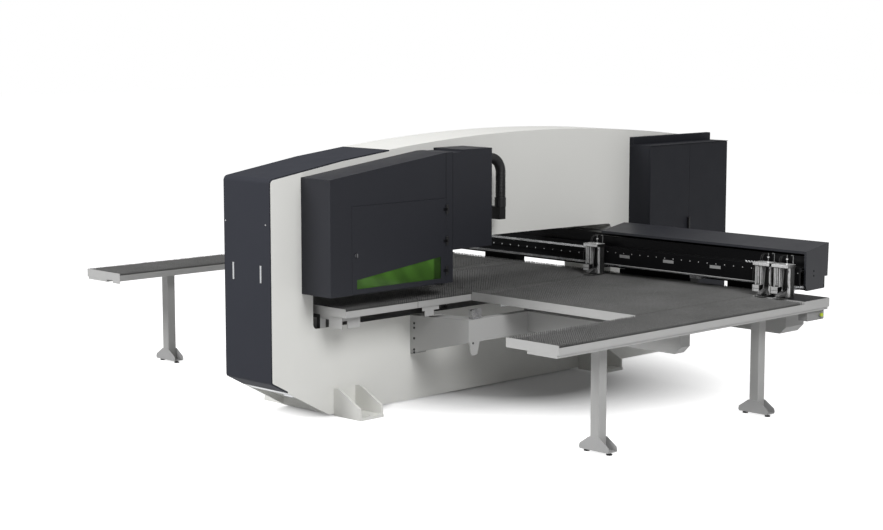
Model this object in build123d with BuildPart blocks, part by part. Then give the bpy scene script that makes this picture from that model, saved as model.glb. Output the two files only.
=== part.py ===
from build123d import *
from math import atan, cos, degrees, radians, sin
import os

os.makedirs("parts", exist_ok=True)

# Axes: X across the machine to the laser side, Y from the front to the rear, Z up from the floor.
# The origin is on the floor, midway between the four anchor bolts of the main frame.
front = -2310.0
table_level = 943.0
sheet = 4.0
seat_gap = 3.0
running_gap = 0.05
pin_sides = 12
disc_sides = 16

# Main frame, a closed plate frame with one long throat
frame_width = 584.0
frame_length = 5500.0
frame_lift = 15.0
nose_height = 348.0
toe_run = 610.0
brow_height = 1995.0
shoulder_run = 774.0
shoulder_height = 2114.0
cover_run = 1295.0
cover_height = 2171.5
crown_run = 3100.0
crown_height = 2264.0
tail_height = 2100.0
brow_round = 45.0
nose_round = 30.0
half = frame_width / 2
rear = front + frame_length
throat_front = front + 445.0
throat_rear = rear - 1350.0
throat_floor = table_level - 196.0
throat_roof = table_level + 397.0
throat_crown = throat_roof + 18.0
throat_corner = 40.0

# Front cover, one folded sheet over the frame's face
cover_sheet = 12.0
cover_lap = 170.0
grip_offset = 175.0
grip_height = 140.0
grip_width = 18.0
grip_level = 1229.0
grip_proud = 3.0

# Frame feet, anchor plates with tapered gussets
foot_reach = 328.0
foot_plate = 25.0
foot_length = 260.0
foot_stations = (front + 660.0, rear - 1800.0)
anchor_radius = 11.0
anchor_reach = 295.0
gusset_sheet = 20.0
gusset_height = 232.0

# Laser enclosure, a sheet cabin with a door on the frame's side
cabin_depth = 357.0
cabin_front = front + 327.0
cabin_rear = front + 1692.0
cabin_floor = table_level + 108.0
cabin_front_height = 1994.0
cabin_rear_height = 2151.0
door_front = front + 554.0
door_rear = front + 1612.0
door_top = 1770.0
door_bottom = cabin_floor + 6.0
door_sheet = 6.0
door_gap = 2.0
window_front = front + 608.0
window_rear = front + 1552.0
window_bottom = 1095.0
window_front_top = 1172.0
window_rear_top = 1281.0
window_lap = 12.0
cabin_face = half + cabin_depth

# Laser head box behind the cabin
head_box_rear = front + 2162.0
head_box_floor = 1325.0
head_box_top = 2146.0
head_box_lid = 20.0
lid_front = front + 1811.0
tool_line = front + 2050.0
laser_offset = 380.0
laser_stroke = 370.0

# Extraction hose and its connector
hose_radius = 45.0
hose_x = 470.0
hose_level = 2060.0
hose_bend = 130.0
hose_y = front + 2452.0
connector_top = 1707.0
connector_floor = 1518.0
collar_height = 80.0
collar_wall = 5.0

# Electrical cabinet on the frame's rear
cabinet_front = rear - 1090.0
cabinet_length = 1180.0
cabinet_depth = 261.0
cabinet_floor = 400.0
cabinet_top = 2070.0
cabinet_door = 18.0
duct_depth = 48.0
duct_height = 75.0
cabinet_rear = cabinet_front + cabinet_length
cabinet_face = half + cabinet_depth

# Brush tables
centre_half = 627.0
centre_front = front + 500.0
inner_edge = centre_half + 8.0
inner_front = front + 1935.0
outer_edge = 2970.0
outer_inner_edge = outer_edge - 522.0
outer_front = front + 458.0
table_rear = throat_rear - 318.0
smooth_front = table_rear - 362.0
rim_height = 54.0
rim_top = table_level - 21.0
tray_floor = rim_top - rim_height
brush_base = tray_floor + sheet
ridge_pitch = 300.0
ridge_groove = 6.0
groove_depth = 14.0

# Table supports and guides
arm_front = front + 1530.0
channel_face = 1000.0
channel_depth = 70.0
channel_top = table_level - 163.0
channel_height = 190.0
channel_rear = table_rear + 98.0
cross_drop = 170.0
cross_stations = ((inner_front + 315.0, 120.0), (table_rear - 162.0, 260.0))
guide_lines = (channel_face - 35.0, outer_inner_edge - 58.0)
guide_size = 20.0
block_size = 50.0

# Legs of the outer tables
leg_x = outer_edge - 258.0
leg_size = 90.0
leg_stations = (outer_front + 737.0, table_rear - 637.0)
leg_top = table_level - 98.0
cross_end = leg_x - 62.0
pad_height = 22.0
shoe_reach = 150.0
shoe_height = 128.0
shoe_plate = 8.0
tube_wall = 5.0

# Long carriage beam
beam_half = 2850.0
beam_front = table_rear - 132.0
beam_rear = beam_front + 272.0
beam_floor = table_level + 57.0
beam_top = beam_floor + 300.0
rail_levels = (beam_floor + 27.0, beam_floor + 165.0)
rack_level = beam_floor + 105.0
cover_inner_end = inner_edge - 35.0
cover_front_y = beam_front - 44.0
cover_front_top = beam_top + 33.0
cover_rear_top = cover_front_top + 53.0

# X carriage and its clamps
plate_front = beam_front - 100.0
plate_left = 500.0
plate_right = beam_half - 24.0
plate_floor = beam_floor + 40.0
plate_top = beam_floor + 198.0
clamp_lefts = (plate_left + 30.0, plate_right - 396.0, plate_right - 206.0)
jaw_level = table_level + 17.5


def block(x, y, z, mode=Mode.ADD):
    """Rectangular bar between a low and a high limit on each axis."""
    with Locations(((x[0] + x[1]) / 2, (y[0] + y[1]) / 2, (z[0] + z[1]) / 2)):
        Box(x[1] - x[0], y[1] - y[0], z[1] - z[0], mode=mode)


def flip(limits, side):
    """The same limits on the right side (1) or the left side (-1) of the machine."""
    return tuple(sorted(side * value for value in limits))


def across(y):
    """Upright plane across the machine at station y, drawn in X and Z."""
    return Plane(origin=(0, y, 0), x_dir=(1, 0, 0), z_dir=(0, -1, 0))


def save(piece, label):
    """Name a finished piece and write its file."""
    piece.part.label = label
    export_step(piece.part, "parts/" + label + ".step")


# Side profile of the frame with its cover, drawn in Y and Z
toe = front + toe_run
heel = rear - toe_run
with BuildSketch() as full_profile:
    with BuildLine():
        Polyline((rear, tail_height), (rear, nose_height), (heel, frame_lift), (toe, frame_lift),
                 (front, nose_height), (front, brow_height), (front + shoulder_run, shoulder_height),
                 (front + cover_run, cover_height))
        ThreePointArc((front + cover_run, cover_height), (front + crown_run, crown_height),
                      (rear, tail_height))
    make_face()
    fillet(full_profile.vertices().sort_by(Axis.X)[:2].sort_by(Axis.Y)[-1], radius=brow_round)
    fillet(full_profile.vertices().filter_by(lambda v: abs(v.X - front) < 1 and v.Y < brow_height / 2),
           radius=nose_round)
    fillet(full_profile.vertices().filter_by(lambda v: abs(v.X - rear) < 1 and v.Y > brow_height / 2),
           radius=brow_round)

with BuildSketch() as cover_zone:
    with BuildLine():
        Polyline((front - cover_lap, 0), (front + cover_lap, 0), (front + cover_lap, brow_height / 2),
                 (front + cover_run, brow_height / 2), (front + cover_run, 2 * crown_height),
                 (front - cover_lap, 2 * crown_height), close=True)
    make_face()

full_face = full_profile.sketch
core_face = offset(full_face, amount=-cover_sheet)
cover_face = (full_face - core_face) & cover_zone.sketch
frame_face = full_face - cover_face
frame_side = Plane.YZ.offset(-half) * frame_face
cover_side = Plane.YZ.offset(-half) * cover_face

# Main frame: a closed box body with a rounded throat and a recess under its front chamfer
chamfer_slope = (nose_height - frame_lift) / toe_run
recess_side = 25.0
recess_depth = 55.0
recess_start = cover_lap + cover_sheet
recess_end = toe_run - 30.0
recess_open = 30.0


def chamfer_level(run):
    """Height of the front chamfer at a distance behind the front face."""
    return nose_height - chamfer_slope * run


with BuildPart() as main_frame:
    extrude(frame_side, amount=frame_width)
    with BuildSketch(Plane.YZ.offset(-half)) as throat:
        with BuildLine():
            Polyline((throat_rear, throat_roof), (throat_rear, throat_floor),
                     (throat_front, throat_floor), (throat_front, throat_roof))
            ThreePointArc((throat_front, throat_roof), ((throat_front + throat_rear) / 2, throat_crown),
                          (throat_rear, throat_roof))
        make_face()
        fillet(throat.vertices(), radius=throat_corner)
    extrude(amount=frame_width, mode=Mode.SUBTRACT)
    with BuildSketch(Plane.YZ.offset(-half + recess_side)):
        with BuildLine():
            Polyline((front + recess_start, chamfer_level(recess_start) - recess_open),
                     (front + recess_start, chamfer_level(recess_start) + recess_depth),
                     (front + recess_end, chamfer_level(recess_end) + recess_depth),
                     (front + recess_end, chamfer_level(recess_end) - recess_open), close=True)
        make_face()
    extrude(amount=frame_width - 2 * recess_side, mode=Mode.SUBTRACT)

# The frame's members are welded one on the other: base, corner pieces, columns and head beam
weld_levels = (throat_floor, throat_floor + throat_corner, throat_roof - throat_corner, throat_roof)
weld_planes = [Plane.XY.offset(level) for level in weld_levels] + [Plane.XZ.offset(-toe)]
with BuildPart() as frame_members:
    add(main_frame.part)
    for weld in weld_planes:
        split(bisect_by=weld, keep=Keep.BOTH)
save(frame_members, "main_frame")

# Tie plate in the recess under the chamfer, with its small bracket
tie_run = 60.0
tie_bracket = (110.0, 30.0)
with BuildPart() as front_tie:
    with BuildSketch(Plane.YZ.offset(-half + recess_side)):
        with BuildLine():
            tie_end = recess_start + tie_run
            Polyline((front + recess_start, chamfer_level(recess_start) + sheet),
                     (front + recess_start, chamfer_level(recess_start) + recess_depth),
                     (front + tie_end, chamfer_level(tie_end) + recess_depth),
                     (front + tie_end, chamfer_level(tie_end) + sheet), close=True)
        make_face()
    extrude(amount=frame_width - 2 * recess_side)
    bracket_z = chamfer_level(tie_end + tie_run) + recess_depth
    bracket_x = half - recess_side
    block((bracket_x - tie_bracket[0], bracket_x), (front + tie_end, front + tie_end + tie_run),
          (bracket_z - tie_bracket[1], bracket_z))
save(front_tie, "front_tie_plate")

# Front cover: folded sheet with rounded brow and nose
with BuildPart() as front_cover:
    extrude(cover_side, amount=frame_width)
save(front_cover, "front_cover")

# Grips of the cover, two upright inlays
with BuildPart() as grips:
    for side in (-1, 1):
        with BuildSketch(across(front)):
            with Locations((side * grip_offset, grip_level)):
                Rectangle(grip_width, grip_height)
        extrude(amount=grip_proud)
save(grips, "cover_grips")

# Frame feet: base plate with an anchor hole and two tapered gussets on each corner
gusset_reach = foot_reach - 8.0
gusset_outline = ((0, foot_plate), (0, gusset_height - 6), (50, gusset_height), (80, gusset_height - 10),
                  (gusset_reach, 4 * foot_plate), (gusset_reach, foot_plate))
with BuildPart() as feet:
    for station in foot_stations:
        for side in (-1, 1):
            block(flip((half, half + foot_reach), side), (station, station + foot_length), (0, foot_plate))
            with Locations((side * (half + anchor_reach), station + foot_length / 2, 0)):
                Cylinder(anchor_radius, 4 * foot_plate, mode=Mode.SUBTRACT)
            for offset_y in (0, foot_length - gusset_sheet):
                with BuildSketch(across(station + offset_y)):
                    with BuildLine():
                        Polyline(*[(side * (half + run), level) for run, level in gusset_outline], close=True)
                    make_face()
                extrude(amount=-gusset_sheet)
save(feet, "frame_feet")

# Laser enclosure shell: folded sheet, open where the door closes it
beam_slot = (0.3 * cabin_depth, 0.6 * (cabin_rear - cabin_front))
with BuildSketch() as cabin_profile:
    with BuildLine():
        Polyline((cabin_front, cabin_floor), (cabin_rear, cabin_floor), (cabin_rear, cabin_rear_height),
                 (door_rear, cabin_rear_height), (cabin_front, cabin_front_height), close=True)
    make_face()
cabin_outer = cabin_profile.sketch
cabin_inner = offset(cabin_outer, amount=-sheet)

with BuildPart() as cabin:
    extrude(Plane.YZ.offset(half) * cabin_outer, amount=cabin_depth)
    extrude(Plane.YZ.offset(half + sheet) * cabin_inner, amount=cabin_depth - 2 * sheet, mode=Mode.SUBTRACT)
    block((cabin_face - 2 * sheet, cabin_face + 1), (door_front, door_rear), (door_bottom - door_gap, door_top),
          mode=Mode.SUBTRACT)
    with Locations((half + laser_offset / 2, (cabin_front + cabin_rear) / 2, cabin_floor)):
        Box(*beam_slot, 4 * sheet, mode=Mode.SUBTRACT)
save(cabin, "enclosure_shell")

# Enclosure door: flat sheet with the window and the latch hole cut through it
latch_y = door_front + 43.0
latch_z = door_bottom + 314.0
latch_radius = 13.0
spindle_radius = 6.0
with BuildPart() as cabin_door:
    block((cabin_face - door_sheet, cabin_face), (door_front + door_gap, door_rear - door_gap),
          (door_bottom, door_top - door_gap))
    with BuildSketch(Plane.YZ.offset(cabin_face - door_sheet)):
        with BuildLine():
            Polyline((window_front, window_bottom), (window_rear, window_bottom),
                     (window_rear, window_rear_top), (window_front, window_front_top), close=True)
        make_face()
        with Locations((latch_y, latch_z)):
            Circle(spindle_radius + running_gap)
    extrude(amount=door_sheet, mode=Mode.SUBTRACT)
save(cabin_door, "enclosure_door")

# Laser-safe window pane behind the door sheet
with BuildPart() as pane:
    with BuildSketch(Plane.YZ.offset(cabin_face - door_sheet - sheet)):
        with BuildLine():
            Polyline((window_front - window_lap, window_bottom - window_lap),
                     (window_rear + window_lap, window_bottom - window_lap),
                     (window_rear + window_lap, window_rear_top + window_lap),
                     (window_front - window_lap, window_front_top + window_lap), close=True)
        make_face()
    extrude(amount=sheet)
save(pane, "door_window")

# Door latch: escutcheon, key bow and inner cam on one spindle, free of the wall while unlocked
cam_depth = 8.0
cam_back = cabin_face - door_sheet - cam_depth
cam_sheet = 5.0
cam_width = 16.0
cam_length = 58.0
bow_height = 34.0
bow_width = 9.0
bow_depth = 16.0
with BuildPart() as latch:
    with BuildSketch(Plane.YZ.offset(cabin_face)):
        with Locations((latch_y, latch_z)):
            RegularPolygon(latch_radius, pin_sides)
    extrude(amount=cam_sheet)
    with BuildSketch(Plane.YZ.offset(cabin_face + cam_sheet)) as bow:
        with Locations((latch_y, latch_z)):
            Rectangle(bow_width, bow_height)
        chamfer(bow.vertices(), length=bow_width / 3)
    extrude(amount=bow_depth)
    with BuildSketch(Plane.YZ.offset(cam_back)):
        with Locations((latch_y, latch_z)):
            RegularPolygon(spindle_radius, pin_sides)
    extrude(amount=door_sheet + cam_depth)
    block((cam_back, cam_back + cam_sheet), (latch_y - cam_width / 2, latch_y + cam_width / 2),
          (latch_z - cam_width / 2, latch_z + cam_length))
save(latch, "door_latch")

# Door hinges: fixed leaf with two knuckles and the pin, door leaf with the middle knuckle
hinge_levels = (door_top - 95.0, door_bottom + 352.0, door_bottom + 102.0)
hinge_length = 75.0
leaf_width = 30.0
leaf_sheet = 3.0
knuckle_radius = 8.0
pin_radius = 4.0
hinge_x = cabin_face + knuckle_radius
knuckle = hinge_length / 3
knuckle_sides = 8
knuckle_play = 0.5
with BuildPart() as fixed_hinges:
    for level in hinge_levels:
        low = level - hinge_length / 2
        for shift in (0, 2 * knuckle):
            with BuildSketch(Plane.XY.offset(low + shift)):
                with Locations((hinge_x, door_rear)):
                    RegularPolygon(knuckle_radius, knuckle_sides)
            extrude(amount=knuckle)
            block((cabin_face, cabin_face + leaf_sheet), (door_rear + door_gap, door_rear + leaf_width),
                  (low + shift, low + shift + knuckle))
        with BuildSketch(Plane.XY.offset(low + knuckle)):
            with Locations((hinge_x, door_rear)):
                RegularPolygon(pin_radius, pin_sides)
        extrude(amount=knuckle)
        block((cabin_face, cabin_face + leaf_sheet), (door_rear + knuckle_radius + 4, door_rear + leaf_width),
              (low, low + hinge_length))
save(fixed_hinges, "door_hinges")

with BuildPart() as door_leaves:
    for level in hinge_levels:
        low = level - knuckle / 2 + knuckle_play
        high = level + knuckle / 2 - knuckle_play
        with BuildSketch(Plane.XY.offset(low)):
            with Locations((hinge_x, door_rear)):
                RegularPolygon(knuckle_radius, knuckle_sides)
                Circle(pin_radius + running_gap, mode=Mode.SUBTRACT)
        extrude(amount=high - low)
        block((cabin_face, cabin_face + leaf_sheet), (door_rear - leaf_width, door_rear - pin_radius - 1),
              (low, high))
save(door_leaves, "door_hinge_leaves")

# Laser head box: sheet box with an opening in its floor and a raised lid
head_opening = 170.0
opening_side = 6.0
laser_x = laser_offset
with BuildSketch() as box_profile:
    with BuildLine():
        Polyline((cabin_rear, head_box_floor), (head_box_rear, head_box_floor),
                 (head_box_rear, head_box_top + head_box_lid), (lid_front, head_box_top + head_box_lid),
                 (lid_front, head_box_top), (cabin_rear, head_box_top), close=True)
    make_face()
with BuildPart() as head_box:
    extrude(Plane.YZ.offset(half) * box_profile.sketch, amount=cabin_depth)
    extrude(Plane.YZ.offset(half + sheet) * offset(box_profile.sketch, amount=-sheet),
            amount=cabin_depth - 2 * sheet, mode=Mode.SUBTRACT)
    block((half + opening_side, laser_x + head_opening / 2), (tool_line - head_opening / 2, tool_line + 90),
          (head_box_floor - 1, head_box_floor + sheet + 1), mode=Mode.SUBTRACT)
save(head_box, "laser_head_box")

# Laser head: body on its slide plate, focusing neck and nozzle cone
head_width = 96.0
head_depth = 110.0
head_height = 260.0
head_low = head_box_floor + 90.0
neck_radius = 34.0
neck_length = 50.0
nozzle_root = neck_radius - 8.0
nozzle_radius = 7.0
nozzle_length = 30.0
slide_plate = 12.0
carriage_length = laser_stroke + 170.0
with BuildPart() as laser_head:
    block((laser_x - head_width / 2, laser_x + head_width / 2),
          (tool_line - head_depth / 2, tool_line + head_depth / 2), (head_low, head_low + head_height))
    chamfer(laser_head.edges().filter_by(Axis.Z), length=8)
    with BuildSketch(Plane.XY.offset(head_low - neck_length)):
        with Locations((laser_x, tool_line)):
            RegularPolygon(neck_radius, disc_sides)
    extrude(amount=neck_length)
    with BuildSketch(Plane.XY.offset(head_low - neck_length)):
        with Locations((laser_x, tool_line)):
            RegularPolygon(nozzle_root, disc_sides)
    extrude(amount=-nozzle_length, taper=degrees(atan((nozzle_root - nozzle_radius) / nozzle_length)))
    block((laser_x - 40, laser_x + 40), (tool_line + head_depth / 2 - slide_plate, tool_line + head_depth / 2),
          (head_low, head_low + carriage_length))
save(laser_head, "laser_head")

# Laser slide: upright guide behind the head, fixed to the box wall
slide_width = 60.0
slide_gap = head_depth / 2 + 0.3
with BuildPart() as laser_slide:
    block((laser_x - slide_width / 2, laser_x + slide_width / 2),
          (tool_line + slide_gap, head_box_rear - sheet),
          (head_box_floor + slide_width, head_box_top - slide_width))
save(laser_slide, "laser_slide")

# Extraction hose: one quarter bend between the box wall and the connector
hose_sides = 10
bend_steps = 6
bend_turns = [radians(90 * step / bend_steps) for step in range(bend_steps + 1)]
bend = [(hose_x, hose_y - hose_bend * (1 - sin(turn)), hose_level - hose_bend * (1 - cos(turn)))
        for turn in bend_turns]
with BuildPart() as hose:
    with BuildLine():
        Polyline((hose_x, head_box_rear, hose_level), *bend, (hose_x, hose_y, connector_top))
    with BuildSketch(Plane(origin=(hose_x, head_box_rear, hose_level), x_dir=(1, 0, 0), z_dir=(0, 1, 0))):
        RegularPolygon(hose_radius, hose_sides, rotation=180 / hose_sides)
    sweep(transition=Transition.RIGHT)
save(hose, "extraction_hose")

# Hose connector: round collar on a block that is bolted to the frame
connector_half = 36.0
connector_reach = 30.0
with BuildPart() as connector:
    with BuildSketch(Plane.XY.offset(connector_top - collar_height)):
        with Locations((hose_x, hose_y)):
            RegularPolygon(hose_radius + collar_wall, disc_sides)
    extrude(amount=collar_height)
    block((half, hose_x + connector_reach), (hose_y - connector_half, hose_y + connector_half),
          (connector_floor, connector_top - collar_height))
save(connector, "hose_connector")

# Electrical cabinet: sheet body with a taller cable duct against the frame
cabinet_body = cabinet_face - cabinet_door
cabinet_rim = 25.0
duct_lap = 8.0
with BuildPart() as cabinet:
    block((half, cabinet_body), (cabinet_front, cabinet_rear), (cabinet_floor, cabinet_top))
    block((half + sheet, cabinet_body + 1), (cabinet_front + cabinet_rim, cabinet_rear - cabinet_rim),
          (cabinet_floor + cabinet_rim, cabinet_top - cabinet_rim), mode=Mode.SUBTRACT)
save(cabinet, "cabinet_body")

with BuildPart() as duct:
    block((half, half + duct_depth), (cabinet_front, cabinet_rear), (cabinet_top, cabinet_top + duct_height))
    block((half + duct_depth, cabinet_face + duct_lap), (cabinet_front, cabinet_rear),
          (cabinet_top, cabinet_top + sheet))
    chamfer(duct.edges().filter_by(Axis.Y).sort_by(Axis.Z)[-2:].sort_by(Axis.X)[-1], length=6)
save(duct, "cabinet_duct")

# Mounting panel with its rows of gear inside the cabinet
panel_margin = 60.0
gear_margin = 110.0
gear_depth = 98.0
gear_height = 160.0
gear_pitch = 380.0
gear_low = 150.0
gear_rows = 4
with BuildPart() as gear_panel:
    block((half + sheet, half + 3 * sheet), (cabinet_front + panel_margin, cabinet_rear - panel_margin),
          (cabinet_floor + panel_margin, cabinet_top - panel_margin))
    for row in range(gear_rows):
        low = cabinet_floor + gear_low + row * gear_pitch
        block((half + 3 * sheet, half + 3 * sheet + gear_depth),
              (cabinet_front + gear_margin, cabinet_rear - gear_margin), (low, low + gear_height))
save(gear_panel, "cabinet_gear")

# Cabinet doors: folded trays that meet in the middle
cabinet_split = cabinet_front + cabinet_length / 2
door_limits = ((cabinet_front + 2, cabinet_split - 1.5), (cabinet_split + 1.5, cabinet_rear - 2))
for label, limits in zip(("cabinet_door_front", "cabinet_door_rear"), door_limits):
    with BuildPart() as cabinet_leaf:
        block((cabinet_body + 0.5, cabinet_face), limits, (cabinet_floor + 2, cabinet_top - 3))
        block((cabinet_body, cabinet_face - 2), (limits[0] + 2, limits[1] - 2),
              (cabinet_floor + 4, cabinet_top - 5), mode=Mode.SUBTRACT)
    save(cabinet_leaf, label)

# Cabinet handle: swing bar on a round boss at the rear edge of the front door
handle_y = cabinet_split - 14.0
handle_z = cabinet_floor + 900.0
handle_length = 120.0
handle_width = 24.0
handle_boss = 3.0
with BuildPart() as handle:
    with BuildSketch(Plane.YZ.offset(cabinet_face + handle_boss)) as bar:
        with Locations((handle_y, handle_z)):
            Rectangle(handle_width, handle_length)
        chamfer(bar.vertices(), length=handle_width / 4)
    extrude(amount=handle_width - handle_boss)
    chamfer(handle.faces().sort_by(Axis.X)[-1].edges(), length=4)
    with BuildSketch(Plane.YZ.offset(cabinet_face)):
        with Locations((handle_y, handle_z)):
            Circle(handle_width / 2 - 1)
    extrude(amount=handle_boss)
save(handle, "cabinet_handle")

# Punch head: flanged housing seated against the arched throat roof
punch_x = 0.0
head_radius = 140.0
flange_size = 340.0
flange_drop = 24.0
ring_radius = 122.0
ring_height = 44.0
sleeve_radius = 60.0
ring_top = throat_roof - 211.0
ring_gap = 0.3
head_floor = ring_top + ring_gap
with BuildPart() as punch_head:
    with BuildSketch(Plane.XY.offset(throat_roof - flange_drop)) as flange:
        with Locations((punch_x, tool_line)):
            Rectangle(flange_size, flange_size)
        chamfer(flange.vertices(), length=40)
    extrude(amount=throat_crown - throat_roof + flange_drop)
    add(main_frame.part, mode=Mode.SUBTRACT)
    with BuildSketch(Plane.XY.offset(head_floor)):
        with Locations((punch_x, tool_line)):
            RegularPolygon(head_radius, disc_sides)
    extrude(amount=throat_roof - flange_drop - head_floor)
save(punch_head, "punch_head")

# Index rings: the upper one turns the punch, and the lower one turns the die with it
index_positions = 20


def index_ring(bore, low, height):
    """Ring about the punch line with one flat for each index position and a round bore."""
    with BuildPart() as ring:
        with BuildSketch(Plane.XY.offset(low)):
            with Locations((punch_x, tool_line)):
                RegularPolygon(ring_radius, index_positions)
                Circle(bore, mode=Mode.SUBTRACT)
        extrude(amount=height)
    return ring.part


with BuildPart() as upper_ring:
    add(index_ring(sleeve_radius, ring_top - ring_height, ring_height))
save(upper_ring, "tool_index_ring")

# Punch tool: guide cylinder in the ring's bore, shoulder and punch tip
punch_tip = table_level + 19.0
punch_size = (44.0, 16.0)
punch_point = 12.0
punch_shoulder = 22.0
shoulder_radius = sleeve_radius - 18.0
ram_gap = 4.0
guide_low_end = punch_tip + punch_point + punch_shoulder
with BuildPart() as punch:
    with BuildSketch(Plane.XY.offset(guide_low_end)):
        with Locations((punch_x, tool_line)):
            RegularPolygon(sleeve_radius - running_gap, index_positions)
    extrude(amount=ring_top - ram_gap - guide_low_end)
    with BuildSketch(Plane.XY.offset(punch_tip + punch_point)):
        with Locations((punch_x, tool_line)):
            RegularPolygon(shoulder_radius, pin_sides)
    extrude(amount=punch_shoulder)
    with BuildSketch(Plane.XY.offset(punch_tip)):
        with Locations((punch_x, tool_line)):
            Rectangle(*punch_size)
    extrude(amount=punch_point)
save(punch, "punch_tool")

# Die base on the lower frame and the die holder that turns on it
die_base_height = 84.0
die_base_radius = 150.0
slug_bore = 40.0
die_bore = 34.0
die_radius = 92.0
die_room = 10.0
die_ring_height = 30.0
die_opening = 132.0
die_floor = throat_floor + die_base_height + ring_gap
with BuildPart() as die_base:
    with BuildSketch(Plane.XY.offset(throat_floor)):
        with Locations((punch_x, tool_line)):
            RegularPolygon(die_base_radius, index_positions)
            RegularPolygon(slug_bore, pin_sides, mode=Mode.SUBTRACT)
    extrude(amount=die_base_height)
save(die_base, "die_base")

with BuildPart() as die_holder:
    add(index_ring(die_bore, die_floor, die_ring_height))
    with BuildSketch(Plane.XY.offset(die_floor + die_ring_height)):
        with Locations((punch_x, tool_line)):
            RegularPolygon(die_radius, index_positions)
            Rectangle(punch_size[0] + die_room, punch_size[1] + die_room, mode=Mode.SUBTRACT)
    extrude(amount=table_level - die_floor - die_ring_height)
save(die_holder, "die_holder")

# Brush tables: folded trays with a raised front plate, and ridged brush fields that fill them
front_plate_top = table_level - 3.0
laser_hole = 40.0


def tray(x, y):
    """Folded tray with a raised front plate, inside the part that is open."""
    block(x, y, (tray_floor, rim_top))
    block((x[0] + sheet, x[1] - sheet), (y[0] + sheet, y[1] - sheet), (brush_base, rim_top + 1),
          mode=Mode.SUBTRACT)
    block(x, (y[0], y[0] + sheet), (tray_floor, front_plate_top))


def brush_field(x, y):
    """Brush field with a groove between the rows of brush strips."""
    block((x[0] + sheet, x[1] - sheet), (y[0] + sheet, y[1] - sheet), (brush_base, table_level))
    rows = int((y[1] - y[0]) / ridge_pitch)
    for row in range(1, rows):
        groove = y[0] + row * (y[1] - y[0]) / rows
        block(x, (groove - ridge_groove / 2, groove + ridge_groove / 2),
              (table_level - groove_depth, table_level + 1), mode=Mode.SUBTRACT)


centre_limits = ((-centre_half, centre_half), (centre_front, table_rear))
with BuildPart() as centre_table:
    tray(*centre_limits)
    with BuildSketch(Plane.XY.offset(tray_floor)):
        with Locations((punch_x, tool_line)):
            RegularPolygon(die_opening, index_positions)
        with Locations((laser_x, tool_line)):
            RegularPolygon(laser_hole, disc_sides)
    extrude(amount=sheet, mode=Mode.SUBTRACT)
save(centre_table, "centre_table")

with BuildPart() as centre_brush:
    brush_field(*centre_limits)
    with BuildSketch(Plane.XY.offset(brush_base)):
        with Locations((punch_x, tool_line)):
            RegularPolygon(die_opening, index_positions)
        with Locations((laser_x, tool_line)):
            RegularPolygon(laser_hole, disc_sides)
    extrude(amount=2 * rim_height, mode=Mode.SUBTRACT)
save(centre_brush, "centre_brush")

# Front brackets of the centre table: cross bar with two hanging tabs
bar_half = centre_half - 67.0
bar_height = 35.0
bar_y = (centre_front + 20.0, centre_front + 80.0)
tab_level = tray_floor - 100.0
tab_sheet = 6.0
post_x = (half - 42.0, half - 1.0)
with BuildPart() as front_brackets:
    block((-bar_half, bar_half), bar_y, (tray_floor - bar_height, tray_floor))
    for side in (-1, 1):
        block(flip((bar_half - 160, bar_half), side), (bar_y[0], bar_y[0] + tab_sheet),
              (tab_level, tray_floor - bar_height))
        block(flip((bar_half - tab_sheet, bar_half), side), (bar_y[1], bar_y[1] + 140), (tab_level, tray_floor))
        block(flip(post_x, side), bar_y, (throat_floor, tray_floor - bar_height))
        block(flip(post_x, side), (table_rear - 400, table_rear - 340), (throat_floor, tray_floor))
save(front_brackets, "centre_table_brackets")

# Outer tables: fixed trays with a rail along the outer edge and a tab at the front corner
rail_reach = (leg_x - 52.0, outer_edge - 15.0)
tab_limits = ((outer_edge - 235.0, outer_edge - 15.0), (-outer_inner_edge - 112.0, -outer_inner_edge - sheet))
outer_y = (outer_front, table_rear)
outer_sides = [flip((outer_inner_edge, outer_edge), side) for side in (1, -1)]
with BuildPart() as outer_tables:
    for outer_x, tab_x in zip(outer_sides, tab_limits):
        tray(outer_x, outer_y)
        block(tab_x, (outer_front, outer_front + sheet), (leg_top, tray_floor))
        block(outer_x, (smooth_front - sheet / 2, smooth_front + sheet / 2), (brush_base, rim_top))
    for side in (1, -1):
        block(flip(rail_reach, side), (outer_front + 2, table_rear - 2), (leg_top, tray_floor))
save(outer_tables, "outer_tables")

with BuildPart() as outer_brushes:
    for outer_x in outer_sides:
        brush_field(outer_x, (outer_front, smooth_front))
save(outer_brushes, "outer_brushes")

# Smooth rear sections of the outer tables: folded plates level with the brush tips
fold_width = 40.0
plate_fold = 6.0
with BuildPart() as smooth_sections:
    for outer_x in outer_sides:
        block(outer_x, (smooth_front + seat_gap, table_rear), (rim_top, table_level))
        block((outer_x[0] + fold_width, outer_x[1] - fold_width),
              (smooth_front + fold_width, table_rear - fold_width),
              (rim_top - 1, table_level - plate_fold), mode=Mode.SUBTRACT)
save(smooth_sections, "smooth_sections")

# Inner tables: trays that travel with the long beam
inner_y = (inner_front, table_rear)
inner_sides = [flip((inner_edge, outer_inner_edge - seat_gap), side) for side in (1, -1)]
with BuildPart() as inner_tables:
    for inner_x in inner_sides:
        tray(inner_x, inner_y)
save(inner_tables, "inner_tables")

with BuildPart() as inner_brushes:
    for inner_x in inner_sides:
        brush_field(inner_x, inner_y)
save(inner_brushes, "inner_brushes")

# Legs of the outer tables: square tube, splayed sheet shoe, two levelling pads
leg_places = [(side * leg_x, station) for side in (-1, 1) for station in leg_stations]
with BuildPart() as legs:
    with BuildSketch(Plane.XY.offset(pad_height + shoe_plate)) as tube:
        with Locations(*leg_places):
            Rectangle(leg_size, leg_size)
        chamfer(tube.vertices(), length=6)
        with Locations(*leg_places):
            Rectangle(leg_size - 2 * tube_wall, leg_size - 2 * tube_wall, mode=Mode.SUBTRACT)
    extrude(amount=leg_top - pad_height - shoe_plate)
save(legs, "table_legs")

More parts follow.
